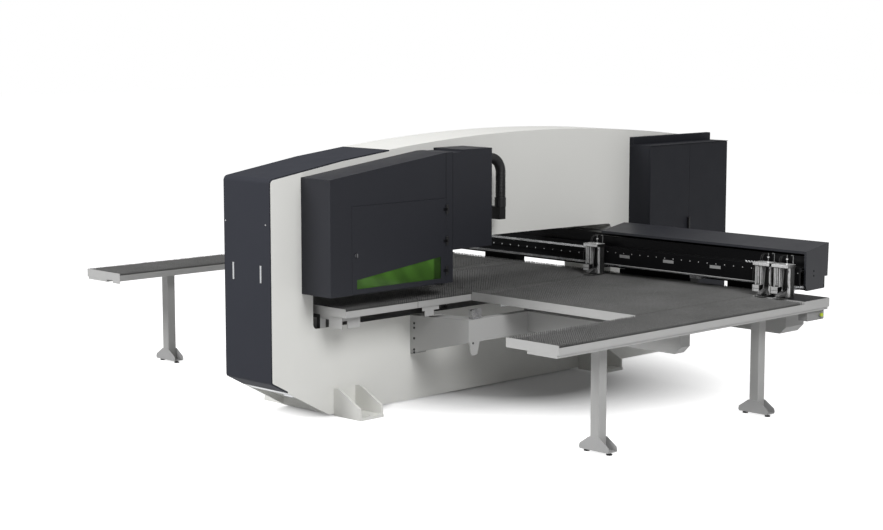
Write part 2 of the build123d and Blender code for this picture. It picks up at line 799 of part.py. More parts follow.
shoe_outline = ((shoe_reach - 8, pad_height), (shoe_reach, pad_height + 14), (shoe_reach - 6, pad_height + 42),
                (leg_size / 2 + 4, shoe_height))
with BuildPart() as shoes:
    for x, y in leg_places:
        for plate_y in (y - leg_size / 2 - sheet, y + leg_size / 2):
            with BuildSketch(across(plate_y)):
                with BuildLine():
                    Polyline(*[(x - run, level) for run, level in shoe_outline],
                             *[(x + run, level) for run, level in reversed(shoe_outline)], close=True)
                make_face()
            extrude(amount=-sheet)
        block((x - shoe_reach + 8, x + shoe_reach - 8), (y - leg_size / 2, y + leg_size / 2),
              (pad_height, pad_height + shoe_plate))
save(shoes, "leg_shoes")

pad_reach = 112.0
pad_radius = 24.0
pad_foot = 10.0
pad_stem = 14.0
pad_places = [(x + shift, y) for x, y in leg_places for shift in (-pad_reach, pad_reach)]
with BuildPart() as pads:
    with BuildSketch(Plane.XY):
        with Locations(*pad_places):
            RegularPolygon(pad_radius, 8)
    extrude(amount=pad_foot)
    with BuildSketch(Plane.XY.offset(pad_foot)):
        with Locations(*pad_places):
            Rectangle(pad_stem, pad_stem)
    extrude(amount=pad_height - pad_foot)
save(pads, "levelling_pads")

# Support arms: flange bolted to the frame, tapered web and top plate
bolt_levels = [channel_top - drop for drop in (98.0, 137.0, 228.0, 324.0, 350.0)]
bolt_y = arm_front + 41.0
arm_sheet = 10.0
arm_depth = 180.0
arm_root = (channel_top - 362.0, channel_top - 32.0)
channel_floor = channel_top - channel_height
channel_inner = channel_face - channel_depth
channel_sheet = 8.0
with BuildPart() as support_arms:
    for side in (1, -1):
        root = half + arm_sheet
        block(flip((half, root), side), (arm_front, arm_front + arm_depth), (arm_root[0] - 8, arm_root[1] + 4))
        with BuildSketch(across(arm_front)):
            with BuildLine():
                Polyline((side * root, arm_root[0]), (side * root, arm_root[1]),
                         (side * channel_face, channel_top), (side * channel_face, channel_floor), close=True)
            make_face()
        extrude(amount=-arm_sheet)
        with BuildSketch(across(arm_front + arm_sheet)):
            with BuildLine():
                Polyline((side * root, arm_root[1] - channel_sheet), (side * root, arm_root[1]),
                         (side * channel_inner, channel_top),
                         (side * channel_inner, channel_top - channel_sheet), close=True)
            make_face()
        extrude(amount=-(arm_depth - 30))
save(support_arms, "support_arms")

# Support channels: long folded channels with a rounded tab under the front corner
channel_front = arm_front + arm_sheet
tab_drop = 110.0
with BuildPart() as support_channels:
    for side in (1, -1):
        inner, face, web = side * channel_inner, side * channel_face, side * (channel_face - channel_sheet)
        with BuildSketch(across(channel_front)):
            with BuildLine():
                Polyline((inner, channel_top), (face, channel_top), (face, channel_floor),
                         (inner, channel_floor),
                         (inner, channel_floor + channel_sheet), (web, channel_floor + channel_sheet),
                         (web, channel_top - channel_sheet), (inner, channel_top - channel_sheet), close=True)
            make_face()
        extrude(amount=-(channel_rear - channel_front))
        with BuildSketch(Plane.YZ.offset(web)) as tab:
            with BuildLine():
                Polyline((channel_front, channel_floor), (channel_front + 120, channel_floor),
                         (channel_front + 90, channel_floor - tab_drop),
                         (channel_front + 20, channel_floor - tab_drop), close=True)
            make_face()
            fillet(tab.vertices().sort_by(Axis.Y)[:2], radius=24)
        extrude(amount=side * channel_sheet)
save(support_channels, "support_channels")

# Cross members: beams from the channels to the outer tables, with a chamfered end and a spacer block
end_chamfer = 60.0
cross_floor = channel_top - cross_drop
spacer_reach = (cross_end - 140.0, cross_end - 20.0)
tie_width = 200.0
with BuildPart() as cross_members:
    for side in (1, -1):
        for station, width in cross_stations:
            with BuildSketch(across(station)):
                with BuildLine():
                    Polyline((side * channel_face, cross_floor), (side * channel_face, channel_top),
                             (side * cross_end, channel_top), (side * cross_end, cross_floor + end_chamfer),
                             (side * (cross_end - end_chamfer), cross_floor), close=True)
                make_face()
            extrude(amount=-width)
            block(flip(spacer_reach, side), (station + 20, station + width - 20), (channel_top, tray_floor))
        rear_station = cross_stations[1][0]
        block(flip((half, channel_inner), side), (rear_station, rear_station + tie_width),
              (cross_floor, channel_top))
save(cross_members, "cross_members")

# Bracket bolts: hexagon heads on the arm flanges
bolt_radius = 11.0
bolt_head = 9.0
with BuildPart() as bolts:
    for side in (-1, 1):
        for level in bolt_levels:
            with BuildSketch(Plane.YZ.offset(side * (half + arm_sheet))):
                with Locations((bolt_y, level)):
                    RegularPolygon(bolt_radius, 6)
            extrude(amount=side * bolt_head)
save(bolts, "bracket_bolts")

# Guides of the moving tables: rails under the trays, grooved blocks on the supports
guide_top = tray_floor
guide_low = guide_top - guide_size
block_top = guide_low + 12.0
block_length = 100.0
block_places = [(guide_lines[0], arm_front + 60), (guide_lines[0], cross_stations[0][0] + 10)]
block_places += [(guide_lines[0], cross_stations[1][0] + 80), (guide_lines[1], cross_stations[0][0] + 10)]
block_places += [(guide_lines[1], cross_stations[1][0] + 80)]
with BuildPart() as guide_blocks:
    for side in (-1, 1):
        for x, y in block_places:
            block(flip((x - block_size / 2, x + block_size / 2), side), (y, y + block_length),
                  (channel_top, block_top))
            block(flip((x - guide_size / 2 - running_gap, x + guide_size / 2 + running_gap), side),
                  (y - 1, y + block_length + 1), (guide_low - running_gap, block_top + 1), mode=Mode.SUBTRACT)
save(guide_blocks, "guide_blocks")

with BuildPart() as guide_rails:
    for side in (-1, 1):
        for x in guide_lines:
            block(flip((x - guide_size / 2, x + guide_size / 2), side), (inner_front + 10, table_rear + 93),
                  (guide_low, guide_top))
save(guide_rails, "guide_rails")

# Saddle of the long beam: dark boxes behind the moving tables that carry the beam
saddle_left = inner_edge + 105.0
saddle_outer = (outer_inner_edge - 540.0, outer_inner_edge - 128.0)
saddle_spans = ((saddle_left, channel_face + 500.0), saddle_outer,
                (-channel_face - 60.0, -inner_edge - 5.0), flip(saddle_outer, -1))
with BuildPart() as saddle:
    for span in saddle_spans:
        block(span, (table_rear, beam_rear - 20), (tray_floor, beam_floor))
    block((saddle_left - 80, saddle_left), (table_rear + 20, table_rear + 90),
          (tray_floor + 10, beam_floor - 30))
save(saddle, "beam_saddle")

# Long beam: welded box with a machined front face
cap_sheet = 20.0
beam_end = beam_half - cap_sheet
beam_step = 60.0
with BuildPart() as beam:
    with BuildSketch(Plane.YZ.offset(-beam_end)):
        with BuildLine():
            Polyline((beam_front, beam_floor), (beam_front, plate_top + 12),
                     (beam_front + beam_step, plate_top + 12), (beam_front + beam_step, beam_top),
                     (beam_rear - 12, beam_top), (beam_rear - 12, beam_floor), close=True)
        make_face()
    extrude(amount=2 * beam_end)
save(beam, "carriage_beam")

# Beam end caps: plates with a step at the lower rear corner
cap_step = beam_floor + 104.0
with BuildPart() as end_caps:
    for side in (-1, 1):
        with BuildSketch(Plane.YZ.offset(side * beam_end)):
            with BuildLine():
                Polyline((cover_front_y + 22, beam_floor), (cover_front_y, beam_floor + 40),
                         (cover_front_y, cover_front_top), (beam_rear + 9, cover_rear_top),
                         (beam_rear, cap_step), (beam_rear - 50, cap_step),
                         (beam_rear - 60, beam_floor + 4), close=True)
            make_face()
        extrude(amount=side * cap_sheet)
save(end_caps, "beam_end_caps")

# Beam cover: sloping sheet lid on both sides of the frame
cover_wall = 5.0
cover_lip = 22.0
cover_tie_top = cover_front_top + 22.5
with BuildPart() as beam_cover:
    for side in (-1, 1):
        with BuildSketch(Plane.YZ.offset(side * cover_inner_end)):
            with BuildLine():
                Polyline((cover_front_y, cover_front_top - cover_lip), (cover_front_y, cover_front_top),
                         (beam_rear + 9, cover_rear_top), (beam_rear + 1, cap_step),
                         (beam_rear - 5, cap_step), (beam_rear + 3, cover_rear_top - cover_wall - 1),
                         (cover_front_y + cover_wall, cover_front_top - cover_wall),
                         (cover_front_y + cover_wall, cover_front_top - cover_lip), close=True)
            make_face()
        extrude(amount=side * (beam_end - cover_inner_end))
        for x in (cover_inner_end + 200, beam_half - 200):
            block(flip((x, x + 40), side), (beam_front + 100, beam_front + 120), (beam_top, cover_tie_top))
save(beam_cover, "beam_cover")

# Linear rails and rack on the beam's front face
rail_size = 20.0
with BuildPart() as beam_rails:
    for level in rail_levels:
        block((-beam_end, beam_end), (beam_front - rail_size, beam_front),
              (level - rail_size / 2, level + rail_size / 2))
save(beam_rails, "beam_rails")

rack_height = 24.0
with BuildPart() as rack:
    block((-beam_end, beam_end), (beam_front - rail_size - 2, beam_front),
          (rack_level - 14, rack_level - 14 + rack_height))
save(rack, "beam_rack")

# X carriage: folded plate with an upper strip, and blocks that run on the rails
strip_top = plate_top + 92.0
strip_sheet = 12.0
plate_sheet = 14.0
with BuildPart() as x_carriage:
    with BuildSketch(Plane.YZ.offset(plate_left)):
        with BuildLine():
            strip_y = beam_front - 2 * strip_sheet
            Polyline((plate_front, plate_floor), (plate_front, plate_top), (strip_y, plate_top),
                     (strip_y, strip_top), (strip_y + strip_sheet, strip_top),
                     (strip_y + strip_sheet, plate_top - strip_sheet),
                     (plate_front + plate_sheet, plate_top - strip_sheet),
                     (plate_front + plate_sheet, plate_floor), close=True)
        make_face()
    extrude(amount=plate_right - plate_left)
save(x_carriage, "x_carriage")

runner_length = 120.0
runner_half = 24.0
with BuildPart() as runners:
    for x in (plate_left + 60, (plate_left + plate_right) / 2, plate_right - 60 - runner_length):
        for level in rail_levels:
            low = max(level - runner_half, beam_floor + 2)
            high = min(level + runner_half, plate_top - strip_sheet)
            block((x, x + runner_length), (plate_front + plate_sheet, beam_front - 1), (low, high))
            block((x - 1, x + runner_length + 1), (beam_front - rail_size - running_gap, beam_front),
                  (level - rail_size / 2 - running_gap, level + rail_size / 2 + running_gap),
                  mode=Mode.SUBTRACT)
save(runners, "rail_runners")

# Workholder clamps: column, cheeks, cap, pins and lower jaw, with the upper jaw as a lever
cheek = 9.0
jaw_pin_y = plate_front - 34.0
jaw_pin_z = table_level + 60.0
jaw_pin_radius = 7.0
jaw_front = plate_front - 180.0
jaw_sheet = 8.0
lower_jaw = table_level + 3.0
cap_floor = plate_top + running_gap
cap_top = plate_top + 26.0
clamp_back = plate_front - 12.0
clamp_right = 158.0
column_floor = table_level + 88.0
boss_floor = table_level + 31.0
cheek_knee = table_level + 67.0
rod_radius = 4.0
rod_top = cap_top + 80.0
back_lap = 10.0
column_width = 70.0
column_front = plate_front - 80.0
column_rib = (20.0, 50.0)
rib_front = column_front - 6.0
foot_width = (-14.0, 56.0)
foot_front = plate_front - 96.0
cap_front = plate_front - 100.0
lever_width = (88.0, 132.0)
jaw_left = 60.0
jaw_corner = 20.0
for number, left in enumerate(clamp_lefts, start=1):
    right = left + clamp_right
    lever = (left + lever_width[0], left + lever_width[1])
    with BuildPart() as clamp:
        block((left - back_lap, right), (clamp_back, plate_front - running_gap), (lower_jaw, cap_floor))
        block((left, left + column_width), (column_front, clamp_back), (column_floor, cap_floor))
        block((left + column_rib[0], left + column_rib[1]), (rib_front, column_front),
              (column_floor + cheek, cap_floor))
        block((left + foot_width[0], left + foot_width[1]), (foot_front, clamp_back),
              (boss_floor, column_floor))
        block((left - back_lap, right), (cap_front, plate_front + plate_sheet), (cap_floor, cap_top))
        for cheek_x in (lever[0] - cheek - 1, lever[1] + 1):
            with BuildSketch(Plane.YZ.offset(cheek_x)):
                with BuildLine():
                    Polyline((clamp_back, lower_jaw), (cap_front, lower_jaw), (cap_front + 30, cheek_knee),
                             (cap_front + 50, cap_floor), (clamp_back, cap_floor), close=True)
                make_face()
                with Locations((jaw_pin_y, jaw_pin_z)):
                    Circle(jaw_pin_radius + running_gap, mode=Mode.SUBTRACT)
            extrude(amount=cheek)
        with BuildSketch(Plane.XY.offset(lower_jaw)):
            with BuildLine():
                Polyline((left + jaw_left, clamp_back), (left + jaw_left, jaw_front + jaw_corner),
                         (left + jaw_left + 12, jaw_front), (right - 12, jaw_front),
                         (right, jaw_front + jaw_corner), (right, clamp_back), close=True)
            make_face()
        extrude(amount=jaw_sheet)
        for rod_x, rod_y in ((left + 107, plate_front - 42), (right - 10, plate_front - 14)):
            with BuildSketch(Plane.XY.offset(cap_top)):
                with Locations((rod_x, rod_y)):
                    RegularPolygon(rod_radius, 6)
            extrude(amount=rod_top - cap_top)
        block((right - 30, right - 6), (plate_front - 18, plate_front - 10), (rod_top - jaw_sheet, rod_top))
    save(clamp, "clamp_" + str(number))

    with BuildPart() as jaw:
        with BuildSketch(Plane.YZ.offset(lever[0])):
            with BuildLine():
                Polyline((jaw_front + 4, jaw_level), (jaw_front + 4, jaw_level + 12),
                         (jaw_front + 60, jaw_level + 34),
                         (jaw_pin_y - 10, jaw_pin_z + 16), (jaw_pin_y + 8, jaw_pin_z + 14),
                         (jaw_pin_y + 8, jaw_pin_z - 14), (jaw_pin_y - 30, jaw_level + 8),
                         (jaw_front + 50, jaw_level), close=True)
            make_face()
        extrude(amount=lever[1] - lever[0])
        with BuildSketch(Plane.YZ.offset(lever[0] - cheek - 1)):
            with Locations((jaw_pin_y, jaw_pin_z)):
                RegularPolygon(jaw_pin_radius, pin_sides)
        extrude(amount=lever[1] - lever[0] + 2 * cheek + 2)
    save(jaw, "clamp_jaw_" + str(number))

# Switch box with its push button under the rear end of the right outer table
switch_x = (outer_edge - 120.0, outer_edge - 32.0)
switch_y = (smooth_front + 90, smooth_front + 330)
switch_z = (leg_top - 80.0, leg_top)
button_y = switch_y[1] - 60
button_z = leg_top - 39.0
button_radius = 17.0
button_travel = 5.0
collar_radius = button_radius + 4
collar_depth = 8.0
stem_size = 14.0
stem_depth = 12.0
stem_room = 20.0
button_back = collar_depth + button_travel + 1
with BuildPart() as switch_box:
    block(switch_x, switch_y, switch_z)
    chamfer(switch_box.edges().filter_by(Axis.X), length=6)
    with BuildSketch(Plane.YZ.offset(switch_x[1])):
        with Locations((button_y, button_z)):
            RegularPolygon(collar_radius, disc_sides)
    extrude(amount=collar_depth)
    with BuildSketch(Plane.YZ.offset(switch_x[1] - stem_room)):
        with Locations((button_y, button_z)):
            Rectangle(stem_size + 2 * running_gap, stem_size + 2 * running_gap)
    extrude(amount=stem_room + collar_depth, mode=Mode.SUBTRACT)
save(switch_box, "switch_box")

with BuildPart() as button:
    with BuildSketch(Plane.YZ.offset(switch_x[1] - stem_depth)):
        with Locations((button_y, button_z)):
            Rectangle(stem_size, stem_size)
    extrude(amount=stem_depth + button_back)
    with BuildSketch(Plane.YZ.offset(switch_x[1] + button_back)):
        with Locations((button_y, button_z)):
            RegularPolygon(button_radius, disc_sides)
    extrude(amount=stem_depth)
save(button, "push_button")
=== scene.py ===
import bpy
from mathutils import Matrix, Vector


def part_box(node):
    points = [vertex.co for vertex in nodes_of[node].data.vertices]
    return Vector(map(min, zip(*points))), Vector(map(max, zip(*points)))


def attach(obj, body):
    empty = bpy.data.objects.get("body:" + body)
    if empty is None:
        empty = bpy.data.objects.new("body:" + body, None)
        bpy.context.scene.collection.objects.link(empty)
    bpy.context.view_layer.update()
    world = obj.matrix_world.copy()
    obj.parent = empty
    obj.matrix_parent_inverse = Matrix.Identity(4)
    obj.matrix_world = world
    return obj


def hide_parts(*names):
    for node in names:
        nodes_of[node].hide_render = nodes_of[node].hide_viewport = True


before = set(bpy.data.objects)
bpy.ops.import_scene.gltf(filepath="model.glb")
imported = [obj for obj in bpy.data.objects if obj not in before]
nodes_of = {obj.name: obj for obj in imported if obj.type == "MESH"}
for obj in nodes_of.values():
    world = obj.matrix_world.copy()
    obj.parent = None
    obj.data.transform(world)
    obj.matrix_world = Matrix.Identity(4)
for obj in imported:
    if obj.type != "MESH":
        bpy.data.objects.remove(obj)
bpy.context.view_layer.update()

import math

import bpy
import numpy as np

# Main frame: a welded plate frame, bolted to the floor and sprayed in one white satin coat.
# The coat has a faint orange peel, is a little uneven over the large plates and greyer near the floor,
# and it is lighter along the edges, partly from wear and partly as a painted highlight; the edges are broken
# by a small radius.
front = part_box("front_cover")[0].y


def new_material(name, roughness=0.5, metallic=0.0, specular=0.3):
    """Material with one Principled shader; returns it with its nodes, links and shader."""
    material = bpy.data.materials.new(name)
    material.use_nodes = True
    nodes, links = material.node_tree.nodes, material.node_tree.links
    shader = nodes["Principled BSDF"]
    shader.inputs["Roughness"].default_value = roughness
    shader.inputs["Metallic"].default_value = metallic
    shader.inputs["Specular IOR Level"].default_value = specular
    return material, nodes, links, shader


def new_group(name, inputs, outputs):
    """Shader node group with named sockets; returns it with its nodes, links, input and output."""
    group = bpy.data.node_groups.new(name, "ShaderNodeTree")
    for label, kind, value in inputs:
        socket = group.interface.new_socket(label, in_out="INPUT", socket_type="NodeSocket" + kind)
        socket.default_value = value
    for label, kind in outputs:
        group.interface.new_socket(label, in_out="OUTPUT", socket_type="NodeSocket" + kind)
    nodes, links = group.nodes, group.links
    return group, nodes, links, nodes.new("NodeGroupInput"), nodes.new("NodeGroupOutput")


def maths(nodes, links, operation, first, second=0.0):
    """Math node; each operand is a number or an output socket, and some operations use only the first."""
    node = nodes.new("ShaderNodeMath")
    node.operation = operation
    for socket, value in zip(node.inputs, (first, second)):
        if isinstance(value, (int, float)):
            socket.default_value = value
        else:
            links.new(value, socket)
    return node.outputs[0]


def remap(nodes, links, value, low, high, new_low, new_high):
    """Clamped linear change of range, from low..high to new_low..new_high."""
    node = nodes.new("ShaderNodeMapRange")
    links.new(value, node.inputs["Value"])
    limits = {"From Min": low, "From Max": high, "To Min": new_low, "To Max": new_high}
    for label, number in limits.items():
        node.inputs[label].default_value = number
    return node.outputs["Result"]


def noise(nodes, links, vector, scale, detail=3.0, roughness=0.55):
    """Noise on a vector; scale is a number or an output socket."""
    node = nodes.new("ShaderNodeTexNoise")
    links.new(vector, node.inputs["Vector"])
    if isinstance(scale, (int, float)):
        node.inputs["Scale"].default_value = scale
    else:
        links.new(scale, node.inputs["Scale"])
    node.inputs["Detail"].default_value = detail
    node.inputs["Roughness"].default_value = roughness
    return node.outputs["Fac"]


def tinted(nodes, links, colour, factor):
    """Colour multiplied by a grey factor; both are output sockets."""
    node = nodes.new("ShaderNodeVectorMath")
    node.operation = "SCALE"
    links.new(colour, node.inputs[0])
    links.new(factor, node.inputs["Scale"])
    return node.outputs[0]


def object_axes(nodes, links):
    """The piece's own coordinates, whole and split into X, Y and Z."""
    place = nodes.new("ShaderNodeTexCoord").outputs["Object"]
    split = nodes.new("ShaderNodeSeparateXYZ")
    links.new(place, split.inputs[0])
    return place, split.outputs


coat, nodes, links, given, result = new_group(
    "sprayed coat",
    [("Paint", "Color", (0.8, 0.8, 0.8, 1)), ("Mottle", "Float", 0.05), ("Peel", "Float", 90.0),
     ("Gloss", "Float", 0.4), ("Floor grime", "Float", 0.06), ("Edge wear and highlight", "Float", 0.1)],
    [("Colour", "Color"), ("Roughness", "Float"), ("Height", "Float"), ("Edge normal", "Vector")])
place, axes = object_axes(nodes, links)
broad = noise(nodes, links, place, 0.9, 4.0)
fine = noise(nodes, links, place, given.outputs["Peel"], 2.0)
low_part = remap(nodes, links, axes["Z"], 0.0, 0.9, 1.0, 0.0)
streaks = noise(nodes, links, place, 5.0, 5.0)
dirt = maths(nodes, links, "MULTIPLY", low_part, streaks)
grime = maths(nodes, links, "MULTIPLY", dirt, given.outputs["Floor grime"])
centred = maths(nodes, links, "SUBTRACT", broad, 0.5)
uneven = maths(nodes, links, "MULTIPLY", centred, given.outputs["Mottle"])
bevel_samples = 4
coat_edge_radius = 0.0035
rounded = nodes.new("ShaderNodeBevel")
rounded.samples = bevel_samples
rounded.inputs["Radius"].default_value = coat_edge_radius
flatness = nodes.new("ShaderNodeVectorMath")
flatness.operation = "DOT_PRODUCT"
links.new(rounded.outputs[0], flatness.inputs[0])
links.new(nodes.new("ShaderNodeNewGeometry").outputs["Normal"], flatness.inputs[1])
# Edges are lightened, partly by wear and partly as a painted highlight.
edge = remap(nodes, links, flatness.outputs["Value"], 0.75, 0.99, 1.0, 0.0)
worn_and_lit_edge = maths(nodes, links, "MULTIPLY", edge, streaks)
wear_and_highlight = maths(nodes, links, "MULTIPLY", worn_and_lit_edge, given.outputs["Edge wear and highlight"])
shade = maths(nodes, links, "SUBTRACT", maths(nodes, links, "ADD", 1.0, uneven), grime)
shade = maths(nodes, links, "ADD", shade, wear_and_highlight)
links.new(tinted(nodes, links, given.outputs["Paint"], shade), result.inputs["Colour"])
wander = maths(nodes, links, "MULTIPLY", maths(nodes, links, "SUBTRACT", streaks, 0.5), 0.16)
links.new(maths(nodes, links, "ADD", given.outputs["Gloss"], wander), result.inputs["Roughness"])
links.new(fine, result.inputs["Height"])
links.new(rounded.outputs[0], result.inputs["Edge normal"])


def finish(material, nodes, links, shader, group, strength, distance):
    """Wire a finish group's colour, roughness and relief to the shader."""
    relief = nodes.new("ShaderNodeBump")
    relief.inputs["Strength"].default_value = strength
    relief.inputs["Distance"].default_value = distance
    links.new(group.outputs["Height"], relief.inputs["Height"])
    links.new(group.outputs["Edge normal"], relief.inputs["Normal"])
    links.new(group.outputs["Colour"], shader.inputs["Base Color"])
    links.new(group.outputs["Roughness"], shader.inputs["Roughness"])
    links.new(relief.outputs["Normal"], shader.inputs["Normal"])
    return material


def painted(name, paint, gloss=0.4, mottle=0.05, peel=90.0, bump=0.02, grime=0.06, wear_and_highlight=0.1, specular=0.3):
    """Painted finish on the sprayed coat group; peel is the orange peel's scale, bump its strength."""
    material, nodes, links, shader = new_material(name, specular=specular)
    group = nodes.new("ShaderNodeGroup")
    group.node_tree = coat
    amounts = {"Mottle": mottle, "Peel": peel, "Gloss": gloss, "Floor grime": grime, "Edge wear and highlight": wear_and_highlight}
    for label, value in amounts.items():
        group.inputs[label].default_value = value
    group.inputs["Paint"].default_value = (*paint, 1)
    return finish(material, nodes, links, shader, group, bump, 0.001)


def darken(material, factor):
    """Multiply a finish's colour by a grey factor, an output socket among the material's own nodes."""
    nodes, links = material.node_tree.nodes, material.node_tree.links
    colour = nodes["Principled BSDF"].inputs["Base Color"]
    links.new(tinted(nodes, links, colour.links[0].from_socket, factor), colour)


def dress(material, *names):
    """Give CAD nodes or pieces a material."""
    for name in names:
        piece = nodes_of[name] if isinstance(name, str) else name
        piece.data.materials.clear()
        piece.data.materials.append(material)


def mesh_piece(name, points, faces, material, slot, body):
    """New object at the origin from points and faces, with its finish and the body it rides on; slot is not
    used.
    """
    mesh = bpy.data.meshes.new(name)
    mesh.from_pydata(np.asarray(points).tolist(), [], faces)
    mesh.validate()
    piece = bpy.data.objects.new(name, mesh)
    bpy.context.scene.collection.objects.link(piece)
    dress(material, piece)
    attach(piece, body)
    return piece


def merged(shapes):
    """Several (points, faces) pairs as one."""
    points, faces, count = [], [], 0
    for shape_points, shape_faces in shapes:
        points.append(np.asarray(shape_points, float))
        faces.extend([[count + index for index in face] for face in shape_faces])
        count += len(shape_points)
    return np.concatenate(points), faces


frame_colour = (0.83, 0.83, 0.80)
frame_gloss = 0.42
frame_white = painted("frame white", frame_colour, gloss=frame_gloss, wear_and_highlight=0.05)
dress(frame_white, "frame_feet", "punch_head")

# The frame's throat: below the tables, from the front end to the punch line, its plates get painted shade,
# which fades out upwards and rearwards, and the joint between frame and floor gets a painted shadow.
# The frame's members are ground flush after welding, so its coat has no softened edges.
frame_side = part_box("main_frame")[1].x
inside_frame = frame_side - 0.001
throat_start = front + 0.43
throat_sill = 0.735
sill_dark, sill_light = 0.82, 0.94
throat_dark, throat_light = front + 2.4, front + 3.4
floor_shadow_top = 0.010
throat_shade_tone = 0.04
throat_shaded_paint = painted("frame with painted throat shade", frame_colour, gloss=frame_gloss, wear_and_highlight=0.0)
nodes, links = throat_shaded_paint.node_tree.nodes, throat_shaded_paint.node_tree.links
axes = object_axes(nodes, links)[1]
throat_shade_mask = maths(nodes, links, "LESS_THAN", maths(nodes, links, "ABSOLUTE", axes["X"]), inside_frame)
for axis, limit in (("Y", throat_start), ("Z", throat_sill)):
    beyond = maths(nodes, links, "GREATER_THAN", axes[axis], limit)
    throat_shade_mask = maths(nodes, links, "MULTIPLY", throat_shade_mask, beyond)
for axis, dark, light in (("Z", sill_dark, sill_light), ("Y", throat_dark, throat_light)):
    fading = remap(nodes, links, axes[axis], dark, light, 1.0, 0.0)
    throat_shade_mask = maths(nodes, links, "MULTIPLY", throat_shade_mask, fading)
# Painted shadow along the frame's foot, where it meets the floor.
floor_painted_shadow = maths(nodes, links, "LESS_THAN", axes["Z"], floor_shadow_top)
throat_shade_mask = maths(nodes, links, "MAXIMUM", throat_shade_mask, floor_painted_shadow)
# Painted shade and shadow: the masked plates are darkened nearly to black.
darken(throat_shaded_paint, remap(nodes, links, throat_shade_mask, 0.0, 1.0, 1.0, throat_shade_tone))
relief = nodes["Principled BSDF"].inputs["Normal"].links[0].from_node
links.remove(relief.inputs["Normal"].links[0])
dress(throat_shaded_paint, "main_frame")

# Front cover: one sheet folded over the frame's face, in a dark satin coat.
# Two light grips are let into it, and two small screws hold it near its upper edge.


def bars(limits, bevel=0.001):
    """Points and faces of boxes with broken edges; limits is a list of (low corner, high corner).

    Each of a box's eight corners gives three points, one for each axis: that point keeps its full
    reach along the axis and lies bevel further in along the two others."""
    signs = np.array([[x, y, z] for z in (-1, 1) for y in (-1, 1) for x in (-1, 1)], float)
    low, high = np.array(limits, float).transpose(1, 0, 2)
    inset = bevel * (1 - np.eye(3))
    reach = (high - low)[:, None, None] / 2 - inset
    points = (high + low)[:, None, None] / 2 + signs[None, :, None] * reach
    faces = []
    for axis in range(3):
        second, third = (axis + 1) % 3, (axis + 2) % 3
        for i, j in ((0, 0), (1, 0), (0, 1), (1, 1)):
            corner = (i << second) + (j << third)
            quad = [3 * corner + second, 3 * (corner + (1 << axis)) + second,
                    3 * (corner + (1 << axis)) + third, 3 * corner + third]
            faces.append(quad[::-1] if i == j else quad)
        for side in (0, 1):
            ring = [3 * ((side << axis) + (i << second) + (j << third)) + axis
                    for i, j in ((0, 0), (1, 0), (1, 1), (0, 1))]
            faces.append(ring if side else ring[::-1])
    for corner in range(8):
        tip = [3 * corner, 3 * corner + 1, 3 * corner + 2]
        faces.append(tip if signs[corner].prod() > 0 else tip[::-1])
    return merged([(box.reshape(-1, 3), faces) for box in points])


def tube(path, radii, sides=12, across=(1.0, 0.0, 0.0)):
    """Points and faces of a round tube along a path, closed at both ends.

    The ring about a path point is p + r (u cos a + v sin a), where t is the mean direction of the
    path there, u is the part of across that is square to t, and v = t x u."""
    path = np.array(path, float)
    radii = np.broadcast_to(np.asarray(radii, float), len(path))
    run = np.gradient(path, axis=0)
    run /= np.linalg.norm(run, axis=1, keepdims=True)
    u = np.array(across) - (run @ np.array(across))[:, None] * run
    u /= np.linalg.norm(u, axis=1, keepdims=True)
    v = np.cross(run, u)
    turn = np.arange(sides) * 2 * np.pi / sides
    ring = u[:, None] * np.cos(turn)[None, :, None] + v[:, None] * np.sin(turn)[None, :, None]
    points = path[:, None] + radii[:, None, None] * ring
    here, ahead = np.arange(sides), (np.arange(sides) + 1) % sides
    start = sides * np.arange(len(path) - 1)[:, None]
    walls = np.stack([start + here, start + ahead, start + sides + ahead, start + sides + here], 2)
    last = sides * (len(path) - 1)
    faces = walls.reshape(-1, 4).tolist() + [here[::-1].tolist(), (last + here).tolist()]
    return points.reshape(-1, 3), faces


def heads(places, out, radius, depth, sides=12):
    """Screw heads that stand out from a face at each place; out is the face's outward direction."""
    out = np.array(out, float)
    side = (1.0, 0.0, 0.0) if abs(out[0]) < 0.5 else (0.0, 1.0, 0.0)
    steps = np.array([0.0, 0.65, 1.0]) * depth
    return merged([tube(np.array(place) + steps[:, None] * out, (radius, radius, 0.75 * radius), sides, side)
                   for place in places])


cover_dark = painted("front cover charcoal", (0.036, 0.038, 0.047), gloss=0.6, mottle=0.08, grime=0.0,
                     wear_and_highlight=0.5, specular=0.05)
dress(cover_dark, "front_cover")
grip_grey = painted("grip insert", (0.52, 0.53, 0.54), gloss=0.5)
dress(grip_grey, "cover_grips")
cover_screw_level = 1.631
cover_screw_sides = (-0.271, 0.241)
cover_screw_radius = 0.006
cover_screw_depth = 0.0025
screw_steel = painted("screw steel", (0.60, 0.60, 0.60), gloss=0.35, specular=0.6)
cover_screw_places = [(x, front, cover_screw_level) for x in cover_screw_sides]
cover_screws = heads(cover_screw_places, (0, -1, 0), cover_screw_radius, cover_screw_depth)
mesh_piece("cover_screws", *cover_screws, screw_steel, "bolt_zinc", "machine")

